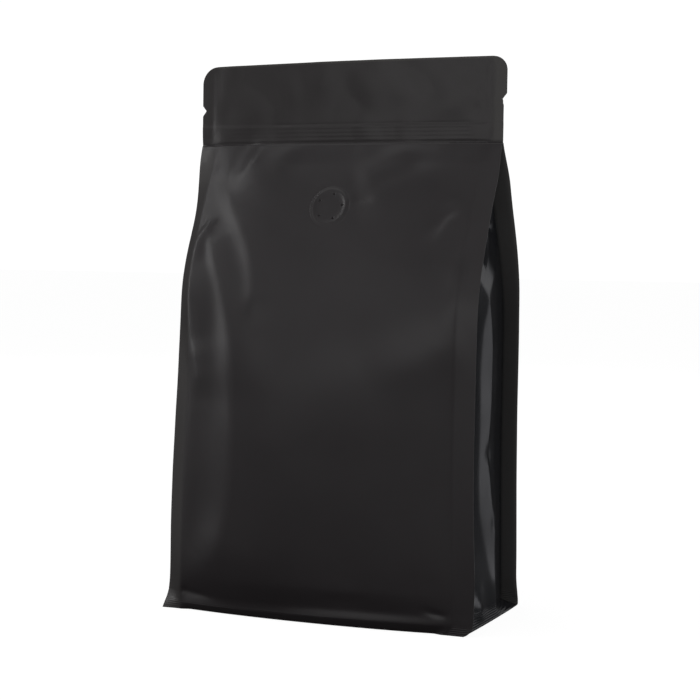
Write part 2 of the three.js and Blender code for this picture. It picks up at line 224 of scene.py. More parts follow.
@dataclass(frozen=True)
class BagForm:
    """Form of the filled bag in millimetres, from the same sizes as its solids."""

    half_width: float = 75.0
    height: float = 253.0
    half_depth: float = 38.0
    seal_width: float = 8.9
    film: float = 0.14
    layer: float = 0.3
    strip_half: float = 0.35
    strip_start: float = 215.0
    strip_bow: float = 4.0
    strip_bow_start: float = 165.0
    top_tilt: float = 0.7
    notch_depth: float = 2.0
    notch_half_mouth: float = 2.5
    waist_low: float = 196.0
    waist_full: float = 216.0
    zip_low: float = 216.2
    zip_high: float = 223.6
    zip_half_length: float = 64.0
    zip_half: float = 0.5
    shoulder_round: float = 4.0
    panel_round: float = 11.0
    ramp_round: float = 1.0
    wedge_start: float = 216.0
    bulge: float = 8.0
    bulge_centre: float = 92.0
    bulge_half_span: float = 124.0
    foot_swell: float = 1.5
    foot_swell_at: float = 8.0
    swell_low: float = 6.0
    swell_high: float = 17.0
    bend_swell: float = 1.35
    bend_at: float = 118.0
    bend_spread: float = 26.0
    bend_rest: float = 0.5
    crown_flatness: float = 0.8
    gusset_half: float = 37.6
    lip_ease_left: float = 7.3
    lip_ease_right: float = 5.0
    flange_bow: float = 5.0
    corner_reach: float = 1.5
    corner_height: float = 5.5
    lip_left: float = 2.7
    lip_right: float = 4.2
    tuck: float = 2.2
    lip_fade: float = 0.07
    fin_flare: float = 8.0
    tuck_start: float = 0.8
    tuck_end: float = 0.88
    curve_ease: float = 7.0
    ease_steps: int = 9
    zip_below: Point = (-1.6, 0.2)
    zip_above: Point = (-0.2, 1.4)
    seal_step: float = 0.4

    @property
    def root(self) -> float:
        """Flat distance from the middle of a panel to its seal line."""
        return self.half_width - self.seal_width

    def panel_bulge(self, height: Array) -> Array:
        """Gives how far the panels stand out at a height, nearly straight below the bend."""
        away = (height - self.bulge_centre) / self.bulge_half_span
        bulge = self.bulge * np.maximum(0.0, 1.0 - away**2)
        low = self.foot_swell * bump_at(height, self.foot_swell_at, self.bend_spread)
        high = self.bend_swell * bump_at(height, self.bend_at, self.bend_spread)
        fade = smooth(height, self.swell_low, self.swell_high)
        fade = fade * (1.0 - smooth(height, self.bend_at, self.strip_start))
        return bulge + (low + high - self.bend_rest) * fade

    def strip_thickness(self, height: Array) -> Array:
        """Gives half the thickness of the flat strip, which swells along the zip."""
        below = smooth(height, self.zip_low + self.zip_below[0], self.zip_low + self.zip_below[1])
        above = smooth(height, self.zip_high + self.zip_above[0], self.zip_high + self.zip_above[1])
        return mix(self.strip_half, self.zip_half, below * (1.0 - above))

    def bow(self, x: Array, height: Array) -> Array:
        """Gives the forward bow of the strip and the upper wedge."""
        share = smooth(height, self.strip_bow_start, self.zip_high)
        return -self.strip_bow * share * (1.0 - (x / self.half_width) ** 2)

    def tilt(self, x: Array, height: Array) -> Array:
        """Gives the rise of the top edge from left to right."""
        share = smooth(height, self.zip_high, self.height)
        return self.top_tilt * (x / self.half_width) * share

    def along(self, points: Curve, height: Array, ease_share: float = 1.0) -> Array:
        """Follows a curve through points over the height, with its corners eased.

        Args:
            points: Pairs of a height and a value.
            height: Heights in millimetres.
            ease_share: How much of the usual easing to use.

        Returns:
            The value at each height.
        """
        heights, values = np.transpose(points)
        reach = self.curve_ease * ease_share
        offsets = reach * np.linspace(-1.0, 1.0, self.ease_steps)
        eased = [np.interp(np.abs(height + offset), heights, values) for offset in offsets]
        ease = smooth(height, 0.0, reach)
        return mix(np.interp(height, heights, values), np.mean(eased, axis=0), ease)

    def seal_depth(self, face: Face, height: Array) -> Array:
        """Gives the distance from the middle plane to the seal lines of a face."""
        return self.wedge_depth(face, height, self.shoulder_round)

    def wedge_depth(self, face: Face, height: Array, rounding: float) -> Array:
        """Gives the depth of the wedge that runs up to the strip.

        Args:
            face: Face that the wedge is on.
            height: Heights in millimetres.
            rounding: Rounding of the bend into the wall.

        Returns:
            The depth at each height.
        """
        flat = self.strip_thickness(height)
        opened = flat + WEDGE_SLOPE[face] * soft_ramp(self.wedge_start - height, self.ramp_round)
        wedge = soft_min(self.half_depth, opened, rounding)
        return np.where(height < self.strip_start, wedge, flat)

    def seal_x(self, face: Face, side: Side, height: Array) -> Array:
        """Gives the distance from the middle to one seal line across the bag."""
        return self.root - self.along(SEALS[face, side].draw, height)

    def seal_lean(self, face: Face, side: Side, height: Array) -> Array:
        """Gives the lean of an edge seal towards its gusset, in radians."""
        return np.radians(self.along(SEALS[face, side].lean, height))

    def edge_inset(self, face: Face, side: Side, height: Array) -> Array:
        """Gives how far the film's edge is cut back by corners, notch and waist.

        Args:
            face: Face that the edge is on.
            side: Side that the edge is on.
            height: Heights in millimetres.

        Returns:
            The inset at each height.
        """
        notch_at = NOTCH_HEIGHT[side]
        notch = np.maximum(0.0, 1.0 - np.abs(height - notch_at) / self.notch_half_mouth)
        below = 1.0 - smooth(height, notch_at - self.notch_half_mouth, notch_at)
        waist = WAIST[side] * smooth(height, self.waist_low, self.waist_full) * below
        radius = CORNER_RADIUS[side]
        top = round_inset(radius, height - (self.height - radius))
        foot_radius = SEALS[face, side].foot_radius
        return top + round_inset(foot_radius, foot_radius - height) + self.notch_depth * notch + waist

    def base_corner(self, face: Face, side: Side) -> float:
        """Gives how far across the bag a base corner lies."""
        return side.value * (self.half_width - SEALS[face, side].foot_radius)

    def base_edge(self, face: Face, across: Array) -> tuple[Array, Array]:
        """Gives the base outline along a panel, bowed out by the fill.

        Args:
            face: Panel that the edge belongs to.
            across: Places across the panel, from -1 to 1.

        Returns:
            The x and y of the outline.
        """
        left = self.base_corner(face, Side.LEFT)
        right = self.base_corner(face, Side.RIGHT)
        x = mix(left, right, to_share(across))
        reach = across * self.half_width / self.root
        bowed = self.flange_bow * np.maximum(0.0, 1.0 - reach**2) ** self.crown_flatness
        return x, face.value * (self.half_depth + bowed)

    def foot_shares(self, face: Face, across: Array, height: Array) -> tuple[Array, Array, Array]:
        """Gives how the foot's outline passes into the walls.

        Args:
            face: Face that the foot is on.
            across: Places across the panel, from -1 to 1.
            height: Heights in millimetres.

        Returns:
            The wall's share in x, its share in y, and how far the film is tucked in under the lip.
        """
        half = to_share(across)
        lip = mix(self.lip_left, self.lip_right, half)
        fin = self.fin_share(face, across)
        left = SEALS[face, Side.LEFT].foot_curve
        right = SEALS[face, Side.RIGHT].foot_curve
        bend = np.where(across < 0.0, left[0], right[0])
        swell = np.where(across < 0.0, left[1], right[1])
        flared = (1.0 - (1.0 - np.clip(height / self.fin_flare, 0.0, 1.0)) ** bend) ** swell
        share_x = mix(np.sqrt(smooth(height, 0.0, self.corner_height)), flared, fin)
        eased = mix(self.lip_ease_left, self.lip_ease_right, half)
        share_y = mix(smooth((height - lip) / eased, 0.0, 1.0), flared, fin)
        tucked = np.maximum(0.0, 1.0 - height / lip) * self.lip_tuck(across)
        return share_x, share_y, tucked

    def lip_tuck(self, across: Array) -> Array:
        """Gives how far the film is tucked in at the bottom of the lip, across the film from -1 to 1."""
        return self.tuck * (1.0 - smooth(np.abs(across), self.tuck_start, self.tuck_end))

    def fin_share(self, face: Face, across: Array) -> Array:
        """Gives 0 on a panel's foot and 1 on its edge seals, across the film from -1 to 1."""
        starts = np.where(across < 0.0, SEALS[face, Side.LEFT].lip_end, SEALS[face, Side.RIGHT].lip_end)
        return smooth(np.abs(across) - starts, 0.0, self.lip_fade)

    def base_side(self, side: Side, share: Array) -> tuple[Array, Array]:
        """Gives the base outline along a gusset.

        Args:
            side: Side of the gusset.
            share: Places from the front corner, 0, to the back corner, 1.

        Returns:
            The x and y of the outline.
        """
        front = SEALS[Face.FRONT, side].foot_radius * (1.0 - share) ** self.corner_reach
        back = SEALS[Face.BACK, side].foot_radius * share**self.corner_reach
        x = side.value * (self.half_width - front - back)
        return x, mix(-self.half_depth, self.half_depth, share)

    def fin(self, face: Face, side: Side, past: Array, height: Array) -> tuple[Array, Array]:
        """Gives how far an edge seal stands off its root line.

        Args:
            face: Face that the seal is on.
            side: Side that the seal is on.
            past: Flat distances past the root line, negative before it.
            height: Heights in millimetres.

        Returns:
            The offsets in x and y.
        """
        beyond = np.clip(past, 0.0, self.seal_width) / self.seal_width
        lean = self.seal_lean(face, side, height)
        width = beyond * (self.seal_width - self.edge_inset(face, side, height))
        return side.value * width * np.cos(lean), -face.value * width * np.sin(lean)


FORM = BagForm()


@dataclass(frozen=True)
class Fold:
    """Ridge or dent along a line on the film, in millimetres.

    The line's left and right are as seen from outside when following it from its first point. The
    fades are the shares of its length over which it begins and ends. The two widths are shares of the
    lift and of the right side's reach at the start and at the end.
    """

    path: Curve
    lift: float
    left: float
    right: float
    crest: float = 1.0
    fades: Point = (0.3, 0.3)
    widths: Point = (1.0, 1.0)
    cut: float = 0.25
    cut_rounds: int = 3

    def rounded_path(self) -> Array:
        """Gives the line with its corners cut smooth."""
        points = np.array(self.path, float)
        for _ in range(self.cut_rounds):
            near = (1.0 - self.cut) * points[:-1] + self.cut * points[1:]
            far = self.cut * points[:-1] + (1.0 - self.cut) * points[1:]
            inner = np.stack([near, far], axis=1).reshape(-1, 2)
            points = np.concatenate([points[:1], inner, points[-1:]])
        return points

    def raise_film(self, across: Array, height: Array) -> Array:
        """Gives how far the fold lifts the film.

        Args:
            across: Places across the film.
            height: Places up the film.

        Returns:
            The lift at each place.
        """
        points = self.rounded_path()
        lengths = np.linalg.norm(np.diff(points, axis=0), axis=1)
        starts = np.concatenate([[0.0], np.cumsum(lengths)])
        best = np.full(np.broadcast(across, height).shape, np.inf)
        signed = np.zeros_like(best)
        along = np.zeros_like(best)
        for index, length in enumerate(lengths):
            start = points[index]
            step = (points[index + 1] - start) / length
            to_x = across - start[0]
            to_z = height - start[1]
            run = np.clip(to_x * step[0] + to_z * step[1], 0.0, length)
            off_x = to_x - run * step[0]
            off_z = to_z - run * step[1]
            away = np.hypot(off_x, off_z)
            closer = away < best
            best = np.where(closer, away, best)
            signed = np.where(closer, step[0] * to_z - step[1] * to_x, signed)
            along = np.where(closer, (starts[index] + run) / starts[-1], along)
        width = mix(self.widths[0], self.widths[1], along)
        reach = np.where(signed > 0.0, self.left, self.right * width)
        rounded = np.sqrt(best**2 + self.crest**2) - self.crest
        profile = width * np.exp(-((rounded / reach) ** 2))
        fade = smooth(along, 0.0, self.fades[0])
        fade = fade * (1.0 - smooth(along, 1.0 - self.fades[1], 1.0))
        return self.lift * profile * fade


# Mesh helpers

def film_grid(name: str, points: Array, flat: Array) -> bpy.types.Object:
    """Adds a grid and lays its vertices on the given points.

    Args:
        name: Name of the piece.
        points: Places of the rows and columns of vertices, in millimetres.
        flat: Places of the same vertices on the flat film, in millimetres.

    Returns:
        The new object, at the origin.
    """
    rows, columns = points.shape[:2]
    bpy.ops.object.select_all(action="DESELECT")
    bpy.ops.mesh.primitive_grid_add(x_subdivisions=columns - 1, y_subdivisions=rows - 1, size=2)
    piece = bpy.context.active_object
    piece.name = name
    mesh = piece.data
    mesh.name = name
    places = np.zeros(len(mesh.vertices) * 3)
    mesh.vertices.foreach_get("co", places)
    places = places.reshape(-1, 3)
    column = np.rint((places[:, 0] + 1.0) * 0.5 * (columns - 1)).astype(int)
    row = np.rint((places[:, 1] + 1.0) * 0.5 * (rows - 1)).astype(int)
    mesh.vertices.foreach_set("co", (points[row, column] * MM).ravel())
    corners = np.zeros(len(mesh.loops), int)
    mesh.loops.foreach_get("vertex_index", corners)
    layer = mesh.uv_layers[0]
    layer.name = "film"
    layer.data.foreach_set("uv", (flat[row, column] * MM)[corners].ravel())
    mesh.update()
    return piece


def thicken(piece: bpy.types.Object) -> None:
    """Gives a sheet whose normals look outwards its thickness on the inside, and shades it smooth."""
    bpy.ops.object.select_all(action="DESELECT")
    bpy.context.view_layer.objects.active = piece
    piece.select_set(True)
    bpy.ops.object.modifier_add(type="SOLIDIFY")
    modifier = piece.modifiers[-1]
    modifier.thickness = FORM.film * MM
    modifier.offset = -1.0
    modifier.use_even_offset = False
    bpy.ops.object.modifier_apply(modifier=modifier.name)
    bpy.ops.object.shade_smooth_by_angle(angle=SMOOTH_ANGLE)


def film_piece(
    name: str,
    points: Array,
    flat: tuple[Array, Array],
    seal: float | Array = 0.0,
    flange: float | Array = 0.0,
) -> bpy.types.Object:
    """Makes a sheet of film with its thickness, and with masks for its finish.

    Args:
        name: Name of the piece.
        points: Places of the rows and columns of vertices, in millimetres.
        flat: Places of the same vertices across and up the flat film, in millimetres.
        seal: How pale the seals make the film, from 0 to 1; on the gussets this paleness is partly painted
            fill light.
        flange: Where the film has the ribs of the seal bar, from 0 to 1.

    Returns:
        The finished sheet.
    """
    piece = film_grid(name, points, np.stack(np.broadcast_arrays(*flat), axis=-1))
    for label, values in (("seal", seal), ("flange", flange)):
        spread = np.broadcast_to(values, points.shape[:2]).astype(np.float32)
        mask = piece.data.attributes.new(label, "FLOAT", "POINT")
        mask.data.foreach_set("value", spread.ravel())
    thicken(piece)
    return piece


def surface_normals(points: Array) -> Array:
    """Gives outward unit normals of a grid of points."""
    along_row = np.gradient(points, axis=1)
    along_column = np.gradient(points, axis=0)
    normal = np.cross(along_row, along_column)
    return normal / np.linalg.norm(normal, axis=-1, keepdims=True)


# Pieces of film

PANEL_ROWS: Curve = (
    (0.0, 0.5), (14.0, 1.0), (24.0, 1.3), (140.0, 1.1), (205.0, 0.8), (212.0, 0.4),
    (227.0, 0.6), (238.0, 0.9), (244.0, 0.5), (250.5, 0.25), (253.0, 1.0),
)
GUSSET_ROWS: Curve = (
    (0.0, 0.5), (14.0, 1.2), (120.0, 0.8), (165.0, 1.2), (212.0, 0.8), (228.0, 0.8),
    (244.0, 0.6), (252.0, 0.3), (252.8, 1.0),
)


@dataclass(frozen=True)
class PanelFilm:
    """Front or back film: panel, both edge seals, the strip with its notches, and the foot lip."""

    face: Face
    folds: tuple[Fold, ...]
    seed: int
    seal_columns: int = 9
    panel_columns: int = 117
    column_shares: Point = (0.7, 0.3)
    bend_flatness: float = 0.9
    groove_left: float = 7.6
    groove_right: float = 9.4
    groove_above: float = 5.5
    groove_below: float = 3.0
    groove_deep: float = 0.7
    groove_shallow: float = 0.15
    groove_change: Point = (0.0, 0.7)
    groove_end: Point = (0.55, 0.95)
    swell: float = 0.3
    swell_cell: float = 42.0
    swell_foot: Point = (6.0, 24.0)
    ripple: float = 0.15
    ripple_cell: float = 15.0
    wedge_swell: float = 2.0
    wedge_change: Point = (150.0, 180.0)
    seam_gap: float = 2.0
    seam_fade: float = 9.0
    strip_change: Point = (205.0, 214.0)
    strip_swell: float = 0.4
    strip_swell_cell: float = 19.0
    strip_ripple: float = 0.42
    strip_ripple_cell: float = 7.0
    strip_rest: float = 0.4
    strip_gap: float = 4.0
    strip_fade: float = 8.0
    strip_seam: float = 69.4
    seam_half: float = 0.5
    strip_pale: float = 0.16
    pale_start: Point = (214.0, 217.0)
    band_left: float = 0.25
    band_right: float = 0.6
    fin_share: float = 0.35
    fin_end: Point = (205.0, 216.0)
    rim: Point = (1.4, 0.4)
    flange_end: Point = (3.4, 4.4)
    zip_groove: float = 0.17
    zip_groove_gap: float = 0.5
    zip_groove_spread: float = 0.55
    zip_ends: Point = (64.0, 69.0)
    zip_faint: float = 0.15
    zip_clear: Point = (-48.0, -30.0)
    pocket: float = 0.0
    pocket_floor: float = 6.8
    pocket_edge: float = 8.6

    @property
    def name(self) -> str:
        """Name of the piece."""
        return f"film_{self.face.name.lower()}"

    def columns(self) -> Array:
        """Gives flat places across the film, denser near the seal lines."""
        seal = np.linspace(FORM.root, FORM.half_width, self.seal_columns)
        turn = np.linspace(-1.0, 1.0, self.panel_columns)
        even, dense = self.column_shares
        panel = FORM.root * (even * turn + dense * np.sin(0.5 * math.pi * turn))
        across = np.concatenate([-seal[:0:-1], panel, seal[1:]])
        return across * -self.face.value

    def relief(self, x: Array, height: Array) -> Array:
        """Gives the film's own folds and swells, which die out at the seals and the strip.

        Args:
            x: Places across the bag.
            height: Places up the bag.

        Returns:
            The lift at each place.
        """
        inside = smooth(FORM.root - self.seam_gap - np.abs(x), 0.0, self.seam_fade)
        below = 1.0 - smooth(height, *self.strip_change)
        swell = self.swell * soft_noise(x, height, self.swell_cell, self.seed)
        swell = swell + self.ripple * soft_noise(x, height, self.ripple_cell, self.seed + 1)
        swell = swell * mix(1.0, self.wedge_swell, smooth(height, *self.wedge_change))
        lift = swell * inside * below * smooth(height, *self.swell_foot)
        broad = self.strip_rest + soft_noise(x, height, self.strip_swell_cell, self.seed + 2)
        fine = self.strip_rest + soft_noise(x, height, self.strip_ripple_cell, self.seed + 3)
        dents = np.maximum(0.0, self.strip_swell * broad + self.strip_ripple * fine)
        ends = smooth(FORM.half_width - self.strip_gap - np.abs(x), 0.0, self.strip_fade)
        lift = lift + dents * (1.0 - below) * ends
        for fold in self.folds:
            lift = lift + fold.raise_film(x, height)
        return lift

    def zip_grooves(self, x: Array, height: Array) -> Array:
        """Gives the two grooves that the film makes along the zip."""
        low = bump_at(height, FORM.zip_low - self.zip_groove_gap, self.zip_groove_spread)
        high = bump_at(height, FORM.zip_high + self.zip_groove_gap, self.zip_groove_spread)
        ends = 1.0 - smooth(np.abs(x), *self.zip_ends)
        clear = mix(self.zip_faint, 1.0, smooth(x, *self.zip_clear))
        return -self.zip_groove * (low + high * clear) * ends

    def skin(self, across: Array, height: Array) -> Array:
        """Gives the outside of the film.

        Args:
            across: Flat places across the film, with the seals beyond the panel's root lines.
            height: Heights up the film.

        Returns:
            Points with x, y and z in millimetres.
        """
        face = self.face
        out = face.value
        across, height = np.broadcast_arrays(across, height)
        share = np.clip((across + FORM.root) / (2.0 * FORM.root), 0.0, 1.0)
        x = mix(-FORM.seal_x(face, Side.LEFT, height), FORM.seal_x(face, Side.RIGHT, height), share)
        sharp = FORM.seal_depth(face, height)
        bent = FORM.wedge_depth(face, height, FORM.panel_round)
        arch = 4.0 * share * (1.0 - share)
        depth = mix(sharp, bent, arch**self.bend_flatness)
        y = out * (depth + arch**FORM.crown_flatness * FORM.panel_bulge(height))
        for side in Side:
            off_x, off_y = FORM.fin(face, side, side.value * across - FORM.root, height)
            x = x + off_x
            y = y + off_y
        y = y + out * (self.relief(x, height) + self.zip_grooves(x, height))
        y = y + FORM.bow(x, height)
        share_x, share_y, tucked = FORM.foot_shares(face, across / FORM.half_width, height)
        base_x, base_y = FORM.base_edge(face, across / FORM.half_width)
        x = mix(base_x, x, share_x)
        y = mix(base_y, y, share_y) + out * (self.foot(across, height) - tucked)
        return np.stack([x, y, height + FORM.tilt(x, height)], axis=-1)

    def foot(self, across: Array, height: Array) -> Array:
        """Gives the soft crease over the foot, which is deeper at the left.

        Args:
            across: Flat places across the film.
            height: Heights up the film.

        Returns:
            The lift at each place.
        """
        share = to_share(across / FORM.half_width)
        above = height - mix(self.groove_left, self.groove_right, share)
        spread = np.where(above > 0.0, self.groove_above, self.groove_below)
        deep = mix(self.groove_deep, self.groove_shallow, smooth(share, *self.groove_change))
        deep = deep * (1.0 - smooth(share, *self.groove_end))
        fin = FORM.fin_share(self.face, across / FORM.half_width)
        return -deep * bump_at(above, 0.0, spread) * (1.0 - fin)

    def build(self) -> bpy.types.Object:
        """Builds the film with its thickness.

        Returns:
            The finished sheet.
        """
        across = self.columns()[None, :]
        height = rows_between(*PANEL_ROWS)[:, None]
        points = self.skin(across, height)
        near = np.hypot(across - VALVE_CENTRE[0], (height - VALVE_CENTRE[1]) / VALVE_RISE)
        sunk = self.pocket * (1.0 - smooth(near, self.pocket_floor, self.pocket_edge))
        points = points - surface_normals(points) * sunk[:, :, None]
        upper = smooth(height, *self.pale_start)
        band = step_at(np.abs(across), self.strip_seam, self.seam_half) * upper
        band = band * np.where(across < 0.0, self.band_left, self.band_right)
        band = np.maximum(band, self.strip_pale * upper)
        fin = step_at(-across, FORM.root, FORM.seal_step) * (1.0 - smooth(height, *self.fin_end))
        rim = smooth(height, FORM.height - self.rim[0], FORM.height - self.rim[1])
        seal = np.maximum(np.maximum(band, rim), self.fin_share * fin)
        flange = 1.0 - smooth(height, *self.flange_end)
        return film_piece(self.name, points, (across, height), seal, flange)


@dataclass(frozen=True)
class GussetFilm:
    """Side film: out over the fill below, folded in between the panels above."""

    side: Side
    folds: tuple[Fold, ...]
    seed: int
    crease: Curve
    break_line: Curve
    line_ease: float = 0.5
    seal_columns: int = 8
    wall_columns: int = 89
    strip_slope: float = 0.125
    strip_ease: float = 6.0
    band_slope: float = 0.02
    break_round: float = 0.12
    curl: float = 0.5
    curl_spread: float = 2.2
    apex: float = 145.0
    turn_start: float = 13.0
    turn_spread: float = 25.0
    turn_reach: float = 24.0
    facet_crest: float = 4.7
    facet_slope: float = 0.2
    facet_round: float = 0.12
    facet_edge: float = 0.35
    wall_edge: float = 0.12
    wall_end: Point = (180.0, 205.0)
    # Share of the pale pressed colour on the sealed fins: partly the real tone of a heat seal, partly
    # painted fill light.
    sealed: float = 0.5
    rim: Point = (1.6, 0.5)
    flange_front: float = 7.5
    flange_back: float = 2.2
    flange_end: Point = (5.6, 6.8)
    follow_low: float = 11.0
    follow_high: float = 18.0
    follow_slack: float = 0.01
    swell: float = 0.3
    swell_cell: float = 26.0
    swell_foot: Point = (5.0, 18.0)
    ripple: float = 0.1
    ripple_cell: float = 9.0

    @property
    def name(self) -> str:
        """Name of the piece."""
        return f"film_gusset_{self.side.name.lower()}"

    @property
    def followed(self) -> tuple[Face, ...]:
        """Faces whose seals this film follows at the foot."""
        return (Face.BACK,) if self.side is Side.RIGHT else (Face.FRONT, Face.BACK)

    def columns(self) -> Array:
        """Gives flat places across the film, from the front seal's edge to the back seal's."""
        half = FORM.gusset_half
        seal = np.linspace(half, half + FORM.seal_width, self.seal_columns)
        wall = np.linspace(-half, half, self.wall_columns)
        across = np.concatenate([-seal[:0:-1], wall, seal[1:]])
        return across * self.side.value

    def line_y(self, line: Curve, height: Array) -> Array:
        """Gives where a line on the film lies between front and back."""
        return FORM.along(line, height, self.line_ease)

    def tent(self, y: Array, front: Array, back: Array, middle: Array, height: Array) -> Array:
        """Gives how far the film stands out over the fill.

        A strip by the front seal is steep, a band behind it is level, and the rest falls to the back.

        Args:
            y: Places from front to back.
            front: The front seal line.
            back: The back seal line.
            middle: The crease between them.
            height: Heights in millimetres.

        Returns:
            The distance out from the seal lines.
        """
        away = np.maximum(0.0, y - front)
        broken = np.maximum(0.0, self.line_y(self.break_line, height) - front)
        curled = self.curl * (1.0 - np.exp(-away / self.curl_spread))
        level = self.strip_slope * broken + self.band_slope * (away - broken)
        rise = soft_min(self.strip_slope * away, level, self.break_round) + curled
        crest = self.strip_slope * broken + self.band_slope * (middle - front - broken) + self.curl
        fall = crest * np.clip((back - y) / np.maximum(back - middle, 1.0), 0.0, 1.0)
        return np.where(y < middle, rise, fall)

    def skin(self, across: Array, height: Array) -> Array:
        """Gives the outside of the film.

        Args:
            across: Flat places from the front, negative, to the back, positive.
            height: Heights up the film.

        Returns:
            Points with x, y and z in millimetres.
        """
        side = self.side
        across, height = np.broadcast_arrays(across, height)
        half = FORM.gusset_half
        inward = 1.0 - np.clip(np.abs(across) / half, 0.0, 1.0)
        front = -FORM.seal_depth(Face.FRONT, height) + FORM.layer
        back = FORM.seal_depth(Face.BACK, height) - FORM.layer
        opening = np.maximum(0.0, 0.5 * (back - front))
        start = self.apex + self.turn_start + self.turn_spread * (1.0 - inward)
        turn = smooth(height - start, 0.0, self.turn_reach)
        strip = smooth(height, FORM.strip_start - self.strip_ease, FORM.strip_start)
        crease = self.line_y(self.crease, height)
        middle = mix(0.5 * (front + back), crease, (1.0 - turn) * (1.0 - strip))
        root_y = np.where(across < 0.0, front, back)
        y = mix(root_y, middle, inward)
        tent = self.tent(y, front, back, middle, height)
        facet = self.facet_crest - self.facet_slope * (height - self.apex)
        tent = mix(tent, soft_min(tent, facet, self.facet_round), smooth(inward, 0.0, self.facet_edge))
        folded = np.sqrt(np.maximum(0.0, half**2 - opening**2)) * inward
        front_x = FORM.seal_x(Face.FRONT, side, height)
        back_x = FORM.seal_x(Face.BACK, side, height)
        root_x = mix(np.where(across < 0.0, front_x, back_x), 0.5 * (front_x + back_x), inward)
        x = root_x + mix(tent, -folded, turn)
        wall = smooth(inward, 0.0, self.wall_edge) * (1.0 - smooth(height, *self.wall_end))
        ruffle = self.swell * soft_noise(across, height, self.swell_cell, self.seed)
        ruffle = ruffle + self.ripple * soft_noise(across, height, self.ripple_cell, self.seed + 1)
        lift = ruffle * wall * smooth(height, *self.swell_foot)
        for fold in self.folds:
            lift = lift + fold.raise_film(across, height)
        x = side.value * (x + lift)
        for face in Face:
            off_x, off_y = FORM.fin(face, side, face.value * across - half, height)
            x = x + off_x
            y = y + off_y
        y = y + FORM.bow(x, height)
        share = np.clip((y + FORM.half_depth) / (2.0 * FORM.half_depth), 0.0, 1.0)
        share = np.where(inward > 0.0, share, np.where(across < 0.0, 0.0, 1.0))
        base_x, base_y = FORM.base_side(side, share)
        base_y = base_y * (1.0 - FORM.layer / FORM.half_depth)
        eased = np.clip(height / mix(self.flange_front, self.flange_back, share), 0.0, 1.0)
        edge = np.full(height.shape, float(side.value))
        share_x, share_y, _ = FORM.foot_shares(Face.FRONT, edge, height)
        x = mix(base_x, x, np.where(inward > 0.0, eased, share_x))
        y = mix(base_y, y, np.where(inward > 0.0, eased, share_y))
        return np.stack([x, y, height + FORM.tilt(x, height)], axis=-1)

    def follow(self, points: Array, face: Face, across: Array, height: Array) -> None:
        """Lays the film's seal against the inside of a panel's seal, low down by the foot.

        Args:
            points: Points of the film, which are changed in place.
            face: Face of the panel that the seal lies against.
            across: Flat places across the film, one for each column.
            height: Heights up the film, one for each row.
        """
        seal = np.flatnonzero(face.value * across > FORM.gusset_half - self.follow_slack)
        flat = self.side.value * (FORM.root + face.value * across[seal] - FORM.gusset_half)
        skin = PanelFilm(face, (), 0).skin(flat[None, :], height)
        normals = surface_normals(skin)
        normals = normals * np.sign(face.value * normals[:, :, 1:2])
        share = 1.0 - smooth(height, self.follow_low, self.follow_high)
        points[:, seal] = mix(points[:, seal], skin - FORM.layer * normals, share[:, :, None])

    def build(self) -> bpy.types.Object:
        """Builds the film with its thickness.

        Returns:
            The finished sheet.
        """
        across = self.columns()
        height = rows_between(*GUSSET_ROWS)[:, None]
        points = self.skin(across[None, :], height)
        for face in self.followed:
            self.follow(points, face, across, height)
        away = np.abs(across[None, :])
        edge = FORM.gusset_half + FORM.seal_width
        # Painted light: the sealed fins and their outer edge take the pale pressed colour, partly as the
        # real tone of a heat seal and partly as painted fill light on the back fin, which lies in shade.
        seal = self.sealed * step_at(away, FORM.gusset_half, FORM.seal_step)
        seal = seal + (1.0 - self.sealed) * smooth(away, edge - self.rim[0], edge - self.rim[1])
        flange = 1.0 - smooth(height, *self.flange_end)
        return film_piece(self.name, points, (across[None, :], height), seal, flange)


@dataclass(frozen=True)
class BaseFilm:
    """Bottom film that the bag stands on, up to the foot's edge all round."""

    seed: int = 31
    columns: int = 101
    rows: int = 61
    sag: float = 0.5
    sag_power: int = 8
    sag_cell: float = 30.0
    reach_y: float = 41.0
    flange_x: float = 68.0
    flange_y: float = 34.0
    flange_half: float = 0.5

    def build(self) -> bpy.types.Object:
        """Builds the bottom film with its thickness.

        Returns:
            The finished sheet.
        """
        along = np.linspace(-1.0, 1.0, self.columns)[None, :]
        deep = np.linspace(1.0, -1.0, self.rows)[:, None]
        front_x, front_y = FORM.base_edge(Face.FRONT, along)
        back_x, back_y = FORM.base_edge(Face.BACK, along)
        share = to_share(deep)
        left_x, _ = FORM.base_side(Side.LEFT, share)
        right_x, _ = FORM.base_side(Side.RIGHT, share)
        across = to_share(along)
        lofted = mix(front_x, back_x, share)
        ruled = mix(left_x, right_x, across)
        corner_front = mix(left_x[-1:], right_x[-1:], across)
        corner_back = mix(left_x[:1], right_x[:1], across)
        x = lofted + ruled - mix(corner_front, corner_back, share)
        y = mix(front_y + FORM.lip_tuck(along), back_y - FORM.lip_tuck(along), share)
        inner = (1.0 - along**self.sag_power) * (1.0 - deep**self.sag_power)
        lifted = self.sag * inner * to_share(soft_noise(x, y, self.sag_cell, self.seed))
        points = np.stack([x, y, np.maximum(0.0, lifted)], axis=-1)
        edge_x = np.abs(along) * FORM.half_width - self.flange_x
        edge_y = np.abs(deep) * self.reach_y - self.flange_y
        flange = step_at(np.maximum(edge_x, edge_y), 0.0, self.flange_half)
        return film_piece("film_base", points, (x, y), flange=flange)


